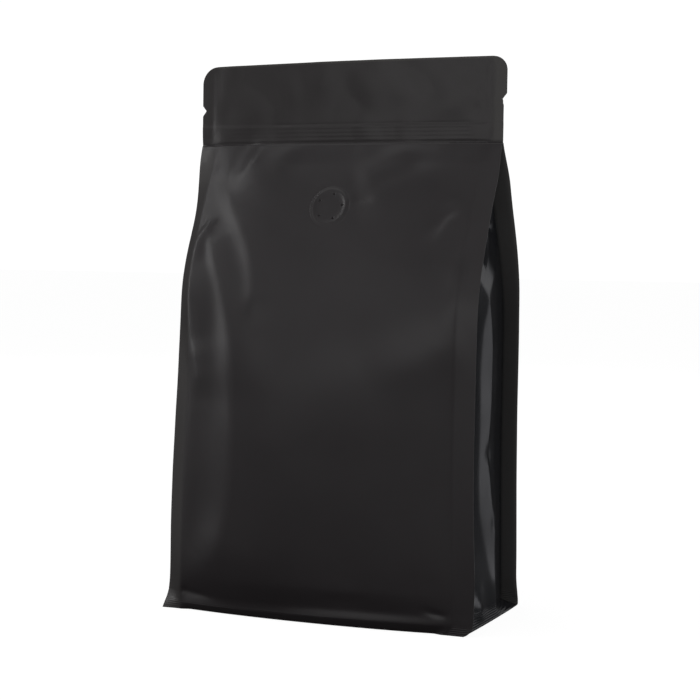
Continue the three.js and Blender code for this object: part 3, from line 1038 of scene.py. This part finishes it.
@dataclass(frozen=True)
class ZipRibs:
    """Ribs of the press zip, showing through the film of one face."""

    panel: PanelFilm
    columns: int = 129
    rows: int = 55
    rib_count: int = 4
    rib_height: float = 0.045
    low_rib_share: float = 1.2
    high_rib_share: float = 0.9
    rib_change: Point = (0.1, 0.6)
    ends: Point = (9.0, 1.0)
    faint: float = 0.3
    clear: Point = (-48.0, -18.0)
    proud: float = 0.03
    sunk: float = 0.05
    edge: float = 0.4

    @property
    def name(self) -> str:
        """Name of the piece, which is also its node's name."""
        return f"zip_{self.panel.face.name.lower()}"

    def build(self) -> bpy.types.Object:
        """Builds the ribbed band on the film's skin.

        Returns:
            The finished band.
        """
        length = FORM.zip_half_length
        across = np.linspace(-length, length, self.columns)[None, :] * -self.panel.face.value
        height = np.linspace(FORM.zip_low, FORM.zip_high, self.rows)[:, None]
        skin = self.panel.skin(across, height)
        share = (height - FORM.zip_low) / (FORM.zip_high - FORM.zip_low)
        wave = np.sin(math.pi * self.rib_count * share) ** 2
        strength = mix(self.low_rib_share, self.high_rib_share, smooth(share, *self.rib_change))
        ends = 1.0 - smooth(np.abs(across), length - self.ends[0], length - self.ends[1])
        fade = mix(self.faint, 1.0, smooth(across, *self.clear)) * ends
        inset = np.minimum(height - FORM.zip_low, FORM.zip_high - height)
        border = smooth(inset, 0.0, self.edge) * smooth(length - np.abs(across), 0.0, self.edge)
        lift = (self.proud + self.rib_height * wave * strength * fade) * border
        lift = lift - self.sunk * (1.0 - border)
        points = skin + surface_normals(skin) * lift[:, :, None]
        return film_piece(f"{self.name}_ribs", points, (across, height), self.panel.strip_pale)


@dataclass(frozen=True)
class GasValve:
    """Degassing valve behind the front film: a faint rim, a slight dish and five pinholes."""

    panel: PanelFilm
    grid: int = 97
    radius: float = 8.2
    border: float = 1.6
    rim: float = 0.26
    rim_faint: float = 0.1
    rim_inset: float = 0.4
    rim_spread: float = 0.8
    rim_clear_turn: float = math.radians(50.0)
    rim_clear: Point = (-0.5, 0.6)
    dish: float = 0.2
    dish_floor: float = 4.5
    pinholes: int = 5
    pinhole_ring: float = 6.0
    pinhole_radius: float = 0.6
    pinhole_floor: float = 0.4
    pinhole_depth: float = 0.6
    pinhole_start: float = 8.0
    knurls: int = 44
    knurl_height: float = 0.18
    knurl_outset: float = 0.8
    knurl_spread: float = 0.4
    knurl_turn: float = math.radians(150.0)
    knurl_turn_spread: float = 0.7
    proud: float = 0.03
    sunk: float = 0.05
    edge: float = 0.5

    @property
    def outer(self) -> float:
        """Radius of the whole patch of film."""
        return self.radius + self.border

    def profile(self, side_way: Array, up_way: Array) -> Array:
        """Gives the height of the film over the valve.

        Args:
            side_way: Places to the right of the valve's centre.
            up_way: Places above the valve's centre.

        Returns:
            The lift at each place.
        """
        away = np.hypot(side_way, up_way)
        angle = np.arctan2(up_way, side_way)
        clear = smooth(np.cos(angle - self.rim_clear_turn), *self.rim_clear)
        rim = mix(self.rim_faint, self.rim, clear)
        rim = rim * bump_at(away, self.radius - self.rim_inset, self.rim_spread)
        dish = self.dish * (1.0 - smooth(away, self.dish_floor, self.radius))
        knurled = bump_at(np.mod(angle, 2.0 * math.pi), self.knurl_turn, self.knurl_turn_spread)
        teeth = np.maximum(0.0, np.cos(self.knurls * angle))
        teeth = teeth * bump_at(away, self.radius + self.knurl_outset, self.knurl_spread)
        lift = rim - dish + self.knurl_height * teeth * knurled
        hole_floor = self.pinhole_floor * self.pinhole_radius
        for index in range(self.pinholes):
            turn = math.radians(self.pinhole_start + index * 360.0 / self.pinholes)
            hole_x = self.pinhole_ring * math.cos(turn)
            hole_z = self.pinhole_ring * math.sin(turn)
            near = np.hypot(side_way - hole_x, up_way - hole_z)
            lift = lift - self.pinhole_depth * (1.0 - smooth(near, hole_floor, self.pinhole_radius))
        inside = 1.0 - smooth(away, self.outer - self.edge, self.outer)
        return (lift + self.proud) * inside - self.sunk * (1.0 - inside)

    def build(self) -> bpy.types.Object:
        """Builds the valve's patch of film on the front panel.

        Returns:
            The finished patch.
        """
        outer = self.outer
        reach = np.linspace(-outer, outer, self.grid)
        square_x, square_z = np.meshgrid(reach / outer, reach / outer)
        side_way = outer * square_x * np.sqrt(1.0 - 0.5 * square_z**2)
        up_way = outer * square_z * np.sqrt(1.0 - 0.5 * square_x**2)
        across = VALVE_CENTRE[0] + side_way
        height = VALVE_CENTRE[1] + up_way * VALVE_RISE
        skin = self.panel.skin(across, height)
        points = skin + surface_normals(skin) * self.profile(side_way, up_way)[:, :, None]
        return film_piece("valve_film", points, (across, height))


# Finishes

WHITE = (1.0, 1.0, 1.0, 1.0)
COOL: Triple = (0.95, 0.95, 1.0)
MIX_FIRST = 6
MIX_SECOND = 7
MIX_RESULT = 2
RANGE_SOCKETS = ("From Min", "From Max", "To Min", "To Max")
FINE_DETAIL = 3.0
BROAD_SCALE = 45.0
BROAD_DETAIL = 4.0
RIB_SCALE = 350.0
RIB_DISTORTION = 0.4


def add_node(
    tree: bpy.types.NodeTree, kind: str, sockets: dict | None = None, **values: object
) -> bpy.types.Node:
    """Adds a node and sets it up.

    Args:
        tree: Node tree to add to.
        kind: Node type.
        sockets: Values of its inputs, by name or number.
        values: Properties of the node by name.

    Returns:
        The new node.
    """
    node = tree.nodes.new(kind)
    for key, value in values.items():
        setattr(node, key, value)
    for key, value in (sockets or {}).items():
        node.inputs[key].default_value = value
    return node


def map_range(
    tree: bpy.types.NodeTree, source: bpy.types.NodeSocket, span: Point, result: Point, kind: str
) -> bpy.types.NodeSocket:
    """Maps a varying value from one range to another.

    Args:
        tree: Node tree to add to.
        source: Socket that gives the value.
        span: Range of the value.
        result: What the value becomes at both ends of its range.
        kind: Interpolation between them.

    Returns:
        The socket that gives the result.
    """
    sockets = dict(zip(RANGE_SOCKETS, (*span, *result)))
    node = add_node(tree, "ShaderNodeMapRange", sockets, interpolation_type=kind)
    tree.links.new(source, node.inputs["Value"])
    return node.outputs["Result"]


def camera_switch(
    tree: bpy.types.NodeTree, lighting: bpy.types.NodeSocket, seen: bpy.types.NodeSocket
) -> bpy.types.NodeSocket:
    """Shows one shader to the camera and another to everything else.

    Args:
        tree: Node tree to add to.
        lighting: Shader that lights the bag.
        seen: Shader that the camera sees.

    Returns:
        The socket that gives both.
    """
    path = add_node(tree, "ShaderNodeLightPath")
    blend = add_node(tree, "ShaderNodeMixShader")
    tree.links.new(path.outputs["Is Camera Ray"], blend.inputs["Fac"])
    tree.links.new(lighting, blend.inputs[1])
    tree.links.new(seen, blend.inputs[2])
    return blend.outputs["Shader"]


def new_group(name: str, place: str, number: str, *results: str) -> bpy.types.ShaderNodeTree:
    """Starts a node group with a place and a number leading in.

    Args:
        name: Name of the group.
        place: Name of the socket for the place.
        number: Name of the socket for the number.
        results: Names of the values that lead out.

    Returns:
        The node group, still without nodes.
    """
    tree = bpy.data.node_groups.new(name, "ShaderNodeTree")
    tree.interface.new_socket(place, in_out="INPUT", socket_type="NodeSocketVector")
    tree.interface.new_socket(number, in_out="INPUT", socket_type="NodeSocketFloat")
    for result in results:
        tree.interface.new_socket(result, in_out="OUTPUT", socket_type="NodeSocketFloat")
    return tree


def grain_group() -> bpy.types.ShaderNodeTree:
    """Makes the film's grain: a fine height and a broad, soft mottle.

    Returns:
        The node group, built once.
    """
    if "film_grain" in bpy.data.node_groups:
        return bpy.data.node_groups["film_grain"]
    tree = new_group("film_grain", "Vector", "Grain Scale", "Height", "Mottle")
    entry = add_node(tree, "NodeGroupInput")
    leave = add_node(tree, "NodeGroupOutput")
    fine = add_node(tree, "ShaderNodeTexNoise", {"Detail": FINE_DETAIL})
    broad = add_node(tree, "ShaderNodeTexNoise", {"Scale": BROAD_SCALE, "Detail": BROAD_DETAIL})
    tree.links.new(entry.outputs["Vector"], fine.inputs["Vector"])
    tree.links.new(entry.outputs["Grain Scale"], fine.inputs["Scale"])
    tree.links.new(entry.outputs["Vector"], broad.inputs["Vector"])
    tree.links.new(fine.outputs["Fac"], leave.inputs["Height"])
    tree.links.new(broad.outputs["Fac"], leave.inputs["Mottle"])
    return tree


def seal_group() -> bpy.types.ShaderNodeTree:
    """Makes the ribs that a seal bar leaves in the film, along the foot.

    Returns:
        The node group, built once.
    """
    if "seal_ribs" in bpy.data.node_groups:
        return bpy.data.node_groups["seal_ribs"]
    tree = new_group("seal_ribs", "Flat", "Mask", "Height")
    entry = add_node(tree, "NodeGroupInput")
    leave = add_node(tree, "NodeGroupOutput")
    banded = {"Scale": RIB_SCALE, "Distortion": RIB_DISTORTION}
    wave = add_node(tree, "ShaderNodeTexWave", banded, bands_direction="Y")
    masked = add_node(tree, "ShaderNodeMath", operation="MULTIPLY")
    tree.links.new(entry.outputs["Flat"], wave.inputs["Vector"])
    tree.links.new(wave.outputs["Fac"], masked.inputs[0])
    tree.links.new(entry.outputs["Mask"], masked.inputs[1])
    tree.links.new(masked.outputs["Value"], leave.inputs["Height"])
    return tree


@dataclass(frozen=True)
class FilmFinish:
    """Black laminate film with a soft grain, and pressed ribs where it is sealed at the foot."""

    name: str
    dark: Triple
    pale: Triple
    roughness: Point
    pressed: Triple
    mottle_span: Point = (0.3, 0.7)
    grain_scale: float = 2600.0
    grain_height: float = 0.000012
    rib_height: float = 0.00005

    def material(self) -> bpy.types.Material:
        """Makes the material.

        Returns:
            The material, with its nodes linked.
        """
        material = bpy.data.materials.new(self.name)
        material.use_nodes = True
        tree = material.node_tree
        link = tree.links.new
        shader = tree.nodes["Principled BSDF"]
        place = add_node(tree, "ShaderNodeTexCoord")
        flat = add_node(tree, "ShaderNodeUVMap", uv_map="film")
        flange = add_node(tree, "ShaderNodeAttribute", attribute_name="flange")
        seal = add_node(tree, "ShaderNodeAttribute", attribute_name="seal")
        scale = {"Grain Scale": self.grain_scale}
        grain = add_node(tree, "ShaderNodeGroup", scale, node_tree=grain_group())
        ribs = add_node(tree, "ShaderNodeGroup", node_tree=seal_group())
        tones = {MIX_FIRST: (*self.dark, 1.0), MIX_SECOND: (*self.pale, 1.0)}
        tone = add_node(tree, "ShaderNodeMix", tones, data_type="RGBA")
        bared = {MIX_SECOND: (*self.pressed, 1.0)}
        bare = add_node(tree, "ShaderNodeMix", bared, data_type="RGBA")
        pressed = add_node(tree, "ShaderNodeBump", {"Distance": self.rib_height})
        grained = add_node(tree, "ShaderNodeBump", {"Distance": self.grain_height})
        mottle = grain.outputs["Mottle"]
        link(place.outputs["Object"], grain.inputs["Vector"])
        link(mottle, tone.inputs["Factor"])
        link(tone.outputs[MIX_RESULT], bare.inputs[MIX_FIRST])
        link(seal.outputs["Fac"], bare.inputs["Factor"])
        link(bare.outputs[MIX_RESULT], shader.inputs["Base Color"])
        gloss = map_range(tree, mottle, self.mottle_span, self.roughness, "LINEAR")
        link(gloss, shader.inputs["Roughness"])
        link(flat.outputs["UV"], ribs.inputs["Flat"])
        link(flange.outputs["Fac"], ribs.inputs["Mask"])
        link(ribs.outputs["Height"], pressed.inputs["Height"])
        link(grain.outputs["Height"], grained.inputs["Height"])
        link(pressed.outputs["Normal"], grained.inputs["Normal"])
        link(grained.outputs["Normal"], shader.inputs["Normal"])
        return material


PANEL_FINISH = FilmFinish(
    "film_matte",
    dark=(0.0195, 0.0160, 0.0178),
    pale=(0.0235, 0.0193, 0.0215),
    roughness=(0.30, 0.35),
    pressed=(0.056, 0.052, 0.048),
)
# The satin film's pale pressed colour is partly painted fill light on the gussets' shaded back fins.
GUSSET_FINISH = FilmFinish(
    "film_satin",
    dark=(0.0150, 0.0155, 0.0185),
    pale=(0.0175, 0.0180, 0.0215),
    roughness=(0.20, 0.24),
    pressed=(0.17, 0.165, 0.16),
    grain_height=0.000004,
    rib_height=0.00014,
)


# The studio

@dataclass(frozen=True)
class SoftLight:
    """One soft light: where it hangs, where it points, its size and its strength."""

    name: str
    place: Triple
    aim: Triple
    size: Point
    power: float
    tint: Triple = (1.0, 1.0, 1.0)

    def add(self) -> None:
        """Hangs the light and turns it to its aim."""
        bpy.ops.object.light_add(type="AREA", location=self.place)
        lamp = bpy.context.active_object
        lamp.name = self.name
        lamp.data.shape = "RECTANGLE"
        lamp.data.size = self.size[0]
        lamp.data.size_y = self.size[1]
        lamp.data.energy = self.power
        lamp.data.color = self.tint
        lamp.visible_camera = False
        away = np.array(self.place) - np.array(self.aim)
        back = away / np.linalg.norm(away)
        right = np.cross([0.0, 0.0, 1.0], back)
        right = right / np.linalg.norm(right)
        up = np.cross(back, right)
        lamp.matrix_world = frame_matrix(right, up, back, np.array(self.place))


def frame_matrix(right: Array, up: Array, back: Array, place: Array) -> Matrix:
    """Gives the matrix of an object from its own axes and its place."""
    columns = np.stack([right, up, back, place], axis=1)
    return Matrix([*columns.tolist(), [0.0, 0.0, 0.0, 1.0]])


@dataclass(frozen=True)
class Studio:
    """Pale floor, soft lights and the camera of the photograph."""

    azimuth: float = 0.368659
    elevation: float = 0.046427
    roll: float = 0.015097
    distance: float = 0.75873
    aim_height: float = 0.12655
    lens: float = 83.92
    shift: Point = (0.0054, -0.0205)
    sensor: float = 36.0
    clip: float = 0.01
    floor_size: float = 30.0
    floor_drop: float = 0.0002
    floor_pale: float = 0.25
    floor_glow: float = 0.93
    # Painted shade on the light the floor throws back: darker near the bag, as a painted shadow, and
    # darker behind it.
    shade_span: Point = (0.08, 0.3)
    shade_bounce: Point = (0.22, 0.55)
    behind_span: Point = (-0.1, 0.3)
    behind_painted_shade: Point = (1.0, 0.2)
    sky_seen: float = 1.05
    sky_span: Point = (-0.3, 0.7)
    sky_fill: Point = (0.33, 0.06)
    lights: tuple[SoftLight, ...] = (
        SoftLight("light_key", (-0.23, 0.05, 1.5), (0.0, 0.0, 0.17), (1.2, 1.2), 2.2),
        SoftLight("light_brow", (-0.35, -1.05, 0.92), (0.0, 0.0, 0.17), (1.7, 0.5), 0.55),
        SoftLight("light_left", (-1.16, -0.31, 0.45), (0.0, 0.0, 0.13), (0.9, 1.1), 0.74),
        SoftLight("light_streak", (-0.856, -0.46, 0.58), (0.0, 0.0, 0.15), (0.1, 1.0), 1.3),
        SoftLight("light_front", (0.0, -1.6, 0.4), (0.0, 0.0, 0.15), (1.3, 0.7), 1.52),
        SoftLight("light_fill", (1.1, -0.9, 0.5), (0.0, 0.0, 0.12), (1.0, 1.0), 0.95),
        SoftLight("light_back", (0.0, 1.7, 0.58), (0.0, 0.0, 0.15), (1.2, 0.6), 0.5),
        SoftLight("light_strip", (0.2, 0.395, 0.16), (0.0705, -0.004, 0.16), (0.05, 0.32), 0.02, COOL),
        SoftLight("light_lane", (0.1555, 0.2575, 0.002), (0.1524, 0.248, 1.0), (0.02, 0.33), 0.0083, COOL),
        SoftLight("light_foot", (0.125, 0.005, 0.002), (0.1241, 0.0046, 1.0), (0.05, 0.06), 0.009, COOL),
        SoftLight("light_right", (1.2, 0.5, 0.42), (0.07, 0.0, 0.1), (0.6, 0.7), 1.0, COOL),
        SoftLight("light_behind", (-1.0, 1.3, 0.9), (0.0, 0.0, 0.15), (0.9, 0.9), 0.8),
    )

    def add_camera(self) -> None:
        """Sets up the camera as in the photograph."""
        sin_a = math.sin(self.azimuth)
        cos_a = math.cos(self.azimuth)
        sin_e = math.sin(self.elevation)
        cos_e = math.cos(self.elevation)
        back = np.array([sin_a * cos_e, -cos_a * cos_e, sin_e])
        right = np.array([cos_a, sin_a, 0.0])
        up = np.cross(back, right)
        turned = math.cos(self.roll) * right + math.sin(self.roll) * up
        upright = math.cos(self.roll) * up - math.sin(self.roll) * right
        place = np.array([0.0, 0.0, self.aim_height]) + back * self.distance
        bpy.ops.object.camera_add()
        camera = bpy.context.active_object
        camera.name = "camera"
        camera.matrix_world = frame_matrix(turned, upright, back, place)
        camera.data.lens = self.lens
        camera.data.sensor_width = self.sensor
        camera.data.shift_x = self.shift[0]
        camera.data.shift_y = self.shift[1]
        camera.data.clip_start = self.clip
        bpy.context.scene.camera = camera

    def add_floor(self) -> None:
        """Lays the floor, which looks white and throws little light back on the bag, in a colour with
        painted shade near the bag and behind it.
        """
        bpy.ops.object.select_all(action="DESELECT")
        bpy.ops.mesh.primitive_plane_add(size=self.floor_size, location=(0.0, 0.0, -self.floor_drop))
        floor = bpy.context.active_object
        floor.name = "floor"
        material = bpy.data.materials.new("floor_paper")
        material.use_nodes = True
        tree = material.node_tree
        link = tree.links.new
        tree.nodes.remove(tree.nodes["Principled BSDF"])
        place = add_node(tree, "ShaderNodeTexCoord")
        away = add_node(tree, "ShaderNodeVectorMath", operation="LENGTH")
        parts = add_node(tree, "ShaderNodeSeparateXYZ")
        link(place.outputs["Object"], away.inputs[0])
        link(place.outputs["Object"], parts.inputs["Vector"])
        soft = "SMOOTHSTEP"
        # Painted shade: the colour the floor throws back is darkened near the bag, as a painted shadow,
        # and behind the bag.
        shade = map_range(tree, away.outputs["Value"], self.shade_span, self.shade_bounce, soft)
        behind = map_range(tree, parts.outputs["Y"], self.behind_span, self.behind_painted_shade, soft)
        painted_shade = add_node(tree, "ShaderNodeMath", operation="MULTIPLY")
        link(shade, painted_shade.inputs[0])
        link(behind, painted_shade.inputs[1])
        bounce = add_node(tree, "ShaderNodeBsdfDiffuse")
        link(painted_shade.outputs["Value"], bounce.inputs["Color"])
        pale = (self.floor_pale, self.floor_pale, self.floor_pale, 1.0)
        lit = add_node(tree, "ShaderNodeBsdfDiffuse", {"Color": pale})
        glow = add_node(tree, "ShaderNodeEmission", {"Strength": self.floor_glow})
        seen = add_node(tree, "ShaderNodeAddShader")
        link(lit.outputs["BSDF"], seen.inputs[0])
        link(glow.outputs["Emission"], seen.inputs[1])
        shown = camera_switch(tree, bounce.outputs["BSDF"], seen.outputs["Shader"])
        link(shown, tree.nodes["Material Output"].inputs["Surface"])
        floor.data.materials.append(material)

    def add_sky(self) -> None:
        """Sets the white backdrop and the dim fill that the bag sees."""
        world = bpy.data.worlds.new("studio")
        bpy.context.scene.world = world
        world.use_nodes = True
        tree = world.node_tree
        link = tree.links.new
        tree.nodes.clear()
        place = add_node(tree, "ShaderNodeTexCoord")
        parts = add_node(tree, "ShaderNodeSeparateXYZ")
        link(place.outputs["Generated"], parts.inputs["Vector"])
        dim = map_range(tree, parts.outputs["Y"], self.sky_span, self.sky_fill, "SMOOTHSTEP")
        fill = add_node(tree, "ShaderNodeBackground", {"Color": WHITE})
        link(dim, fill.inputs["Strength"])
        seen = add_node(tree, "ShaderNodeBackground", {"Color": WHITE, "Strength": self.sky_seen})
        leave = add_node(tree, "ShaderNodeOutputWorld")
        shown = camera_switch(tree, fill.outputs["Background"], seen.outputs["Background"])
        link(shown, leave.inputs["Surface"])

    def build(self) -> None:
        """Sets up the whole studio."""
        bpy.context.scene.view_settings.view_transform = "Standard"
        self.add_floor()
        self.add_sky()
        for light in self.lights:
            light.add()
        self.add_camera()


# Folds of this bag

FRONT_FOLDS: tuple[Fold, ...] = (
    Fold(((-64.0, 205.0), (-56.5, 196.5), (-48.2, 184.5), (-38.6, 172.6), (-32.2, 160.5),
         (-28.4, 148.4), (-27.8, 130.0)), 1.5, 26.0, 5.6, 0.5, (0.25, 0.2), (0.7, 1.1)),
    Fold(((-60.0, 175.0), (-57.9, 171.4), (-51.7, 159.2), (-44.8, 148.5), (-39.9, 135.0),
         (-36.0, 122.0), (-34.0, 96.0)), 3.0, 14.0, 12.0, 0.3, (0.1, 0.45), (0.1, 1.0)),
    Fold(((-63.5, 214.0), (-60.5, 206.0), (-59.5, 196.0)), 0.6, 6.0, 3.5, 0.5, (0.5, 0.5)),
    Fold(((-58.9, 179.0), (-62.2, 174.9), (-64.6, 170.0), (-64.7, 164.3), (-63.6, 157.0)), 0.6, 4.0,
         1.1, 0.2, (0.2, 0.4)),
    Fold(((-62.5, 178.6), (-55.5, 178.6)), 0.3, 1.2, 1.2, 0.4, (0.3, 0.5)),
    Fold(((-59.0, 127.0), (-58.6, 119.4), (-57.2, 112.7), (-56.4, 106.8), (-57.5, 97.0)), 0.7, 9.0, 3.4,
         0.4, (0.35, 0.4)),
    Fold(((-35.0, 134.0), (-33.7, 98.0), (-33.3, 62.0), (-36.5, 41.0), (-43.5, 24.0), (-55.0, 14.5),
         (-66.0, 9.0)), 3.6, 34.0, 12.0, 1.0, (0.4, 0.28)),
    Fold(((62.0, 186.4), (56.0, 184.6), (52.1, 181.0), (49.6, 175.0), (47.8, 168.0)), -0.9, 2.4, 4.0,
         0.5, (0.35, 0.45)),
    Fold(((68.0, 136.0), (48.0, 125.0), (24.0, 111.0)), 1.1, 13.0, 40.0, 2.0, (0.3, 0.5)),
    Fold(((-66.0, 9.2), (-57.6, 7.9), (-44.0, 7.4)), -0.6, 1.5, 1.8, 0.3, (0.15, 0.6)),
    Fold(((2.0, 12.4), (15.3, 12.0), (32.0, 12.8)), -0.2, 1.8, 2.4, 0.4, (0.4, 0.4)),
    Fold(((50.0, 11.6), (56.0, 9.8), (60.0, 8.6), (65.0, 8.4)), -0.45, 1.3, 1.3, 0.3, (0.6, 0.4)),
    Fold(((-41.5, 216.0), (-44.3, 211.1), (-46.0, 203.0)), 0.3, 3.0, 3.0, 1.0, (0.2, 0.5)),
    Fold(((-22.0, 215.0), (-29.0, 208.5), (-36.0, 202.4)), 0.5, 5.0, 5.0, 0.5, (0.3, 0.4)),
    Fold(((-34.0, 219.0), (-52.0, 192.0)), 1.3, 20.0, 5.0, 1.0, (0.4, 0.5)),
    Fold(((40.0, 213.0), (22.0, 205.0), (7.0, 196.0)), 1.0, 6.0, 8.0, 0.6, (0.3, 0.3)),
    Fold(((58.0, 207.0), (32.0, 194.5), (10.0, 184.0)), 1.3, 11.0, 8.0, 0.8, (0.4, 0.3)),
    Fold(((8.8, 188.6), (15.0, 189.2), (22.0, 189.0)), -0.4, 1.6, 1.6, 0.4, (0.2, 0.6)),
    Fold(((64.0, 170.0), (63.4, 150.0), (62.6, 128.0)), 0.5, 2.2, 3.4, 0.5, (0.4, 0.4)),
    Fold(((67.6, 252.0), (67.4, 240.0), (68.4, 226.0), (67.6, 212.0)), 0.3, 1.1, 1.4, 0.3, (0.1, 0.3)),
    Fold(((-69.6, 252.0), (-69.4, 214.0)), -0.12, 0.9, 0.9, 0.3, (0.1, 0.2)),
    Fold(((64.5, 238.5), (61.0, 238.0)), -0.25, 2.2, 1.4, 0.3, (0.3, 0.6)),
    Fold(((64.0, 229.5), (60.0, 229.0)), -0.2, 1.8, 2.4, 0.3, (0.3, 0.6)),
)
BACK_FOLDS: tuple[Fold, ...] = (
    Fold(((64.0, 194.0), (57.0, 183.0), (47.0, 170.0), (38.0, 156.0), (34.0, 144.0)), 1.3, 8.0, 20.0,
         1.5, (0.3, 0.4)),
    Fold(((-62.0, 178.0), (-52.0, 163.0), (-44.0, 146.0), (-41.0, 132.0)), 1.0, 16.0, 7.0, 1.4,
         (0.3, 0.4)),
)
RIGHT_GUSSET_FOLDS: tuple[Fold, ...] = (
    Fold(((-4.0, 79.0), (2.0, 75.0), (9.0, 71.0)), -0.35, 3.0, 3.0, 0.5, (0.4, 0.4)),
    Fold(((-6.0, 43.0), (1.0, 41.5), (10.0, 40.0)), -0.3, 2.2, 2.6, 0.4, (0.3, 0.4)),
    Fold(((-18.0, 22.0), (-17.5, 11.0), (-16.0, 1.0)), 1.5, 5.0, 4.0, 0.3, (0.7, 0.1)),
)
LEFT_GUSSET_FOLDS: tuple[Fold, ...] = (
    Fold(((-6.0, 96.0), (2.0, 88.0), (8.0, 74.0)), -0.9, 4.0, 4.0, 0.6, (0.4, 0.4)),
    Fold(((-20.0, 38.0), (-8.0, 46.0), (2.0, 50.0)), -0.7, 2.5, 3.0, 0.4, (0.3, 0.4)),
)
RIGHT_CREASE: Curve = (
    (0.0, 8.0), (22.0, 7.4), (33.0, 9.5), (42.0, 13.0), (53.0, 7.1), (65.0, 4.6), (74.0, 0.8),
    (86.0, 3.4), (99.0, 5.2), (122.0, 4.7), (133.0, 2.0), (145.0, -3.6), (160.0, 0.0),
)
RIGHT_BREAK: Curve = (
    (0.0, 7.4), (9.0, 5.9), (25.0, -2.0), (38.6, -8.2), (49.0, -11.4), (67.0, -12.3), (90.0, -11.9),
    (117.0, -12.4), (130.0, -11.1), (145.0, -4.0),
)
LEFT_CREASE: Curve = (
    (0.0, 10.0), (24.0, 9.0), (53.0, 6.0), (99.0, 4.0), (133.0, 1.0), (145.0, -3.0), (160.0, 0.0),
)
LEFT_BREAK: Curve = (
    (0.0, 9.0), (27.0, -1.0), (50.0, -9.0), (95.0, -11.0), (130.0, -10.0), (145.0, -3.4),
)


def dress(piece: bpy.types.Object, material: bpy.types.Material, slot: str, *nodes: str) -> None:
    """Gives a piece its finish and ties it to the frame.

    Args:
        piece: Finished piece.
        material: Its finish.
        slot: Material slot of the record; not used.
        nodes: Solids that the piece stands for.
    """
    piece.data.materials.clear()
    piece.data.materials.append(material)
    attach(piece, "root")
    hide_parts(*nodes)
    LOG.info("%s: %d faces, stands for %s", piece.name, len(piece.data.polygons), ", ".join(nodes))


def main() -> None:
    """Builds the bag's film, zip, valve and studio in order."""
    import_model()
    logging.basicConfig(level=logging.INFO, format="%(name)s %(message)s")
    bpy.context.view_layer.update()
    matte = PANEL_FINISH.material()
    satin = GUSSET_FINISH.material()
    front = PanelFilm(Face.FRONT, FRONT_FOLDS, seed=11, pocket=1.6)
    back = PanelFilm(Face.BACK, BACK_FOLDS, seed=17)
    dress(front.build(), matte, "film", "pouch")
    dress(back.build(), matte, "film", "pouch")
    right = GussetFilm(
        Side.RIGHT, RIGHT_GUSSET_FOLDS, seed=23, crease=RIGHT_CREASE, break_line=RIGHT_BREAK
    )
    left = GussetFilm(
        Side.LEFT, LEFT_GUSSET_FOLDS, seed=27, crease=LEFT_CREASE, break_line=LEFT_BREAK
    )
    dress(right.build(), satin, "film", "pouch")
    dress(left.build(), satin, "film", "pouch")
    dress(BaseFilm().build(), matte, "film", "pouch")
    for panel in (front, back):
        ribs = ZipRibs(panel)
        dress(ribs.build(), matte, "zip", ribs.name)
    dress(GasValve(front).build(), matte, "valve", "valve")
    Studio().build()
    LOG.info("all pieces built")


if __name__ == "__main__":
    main()
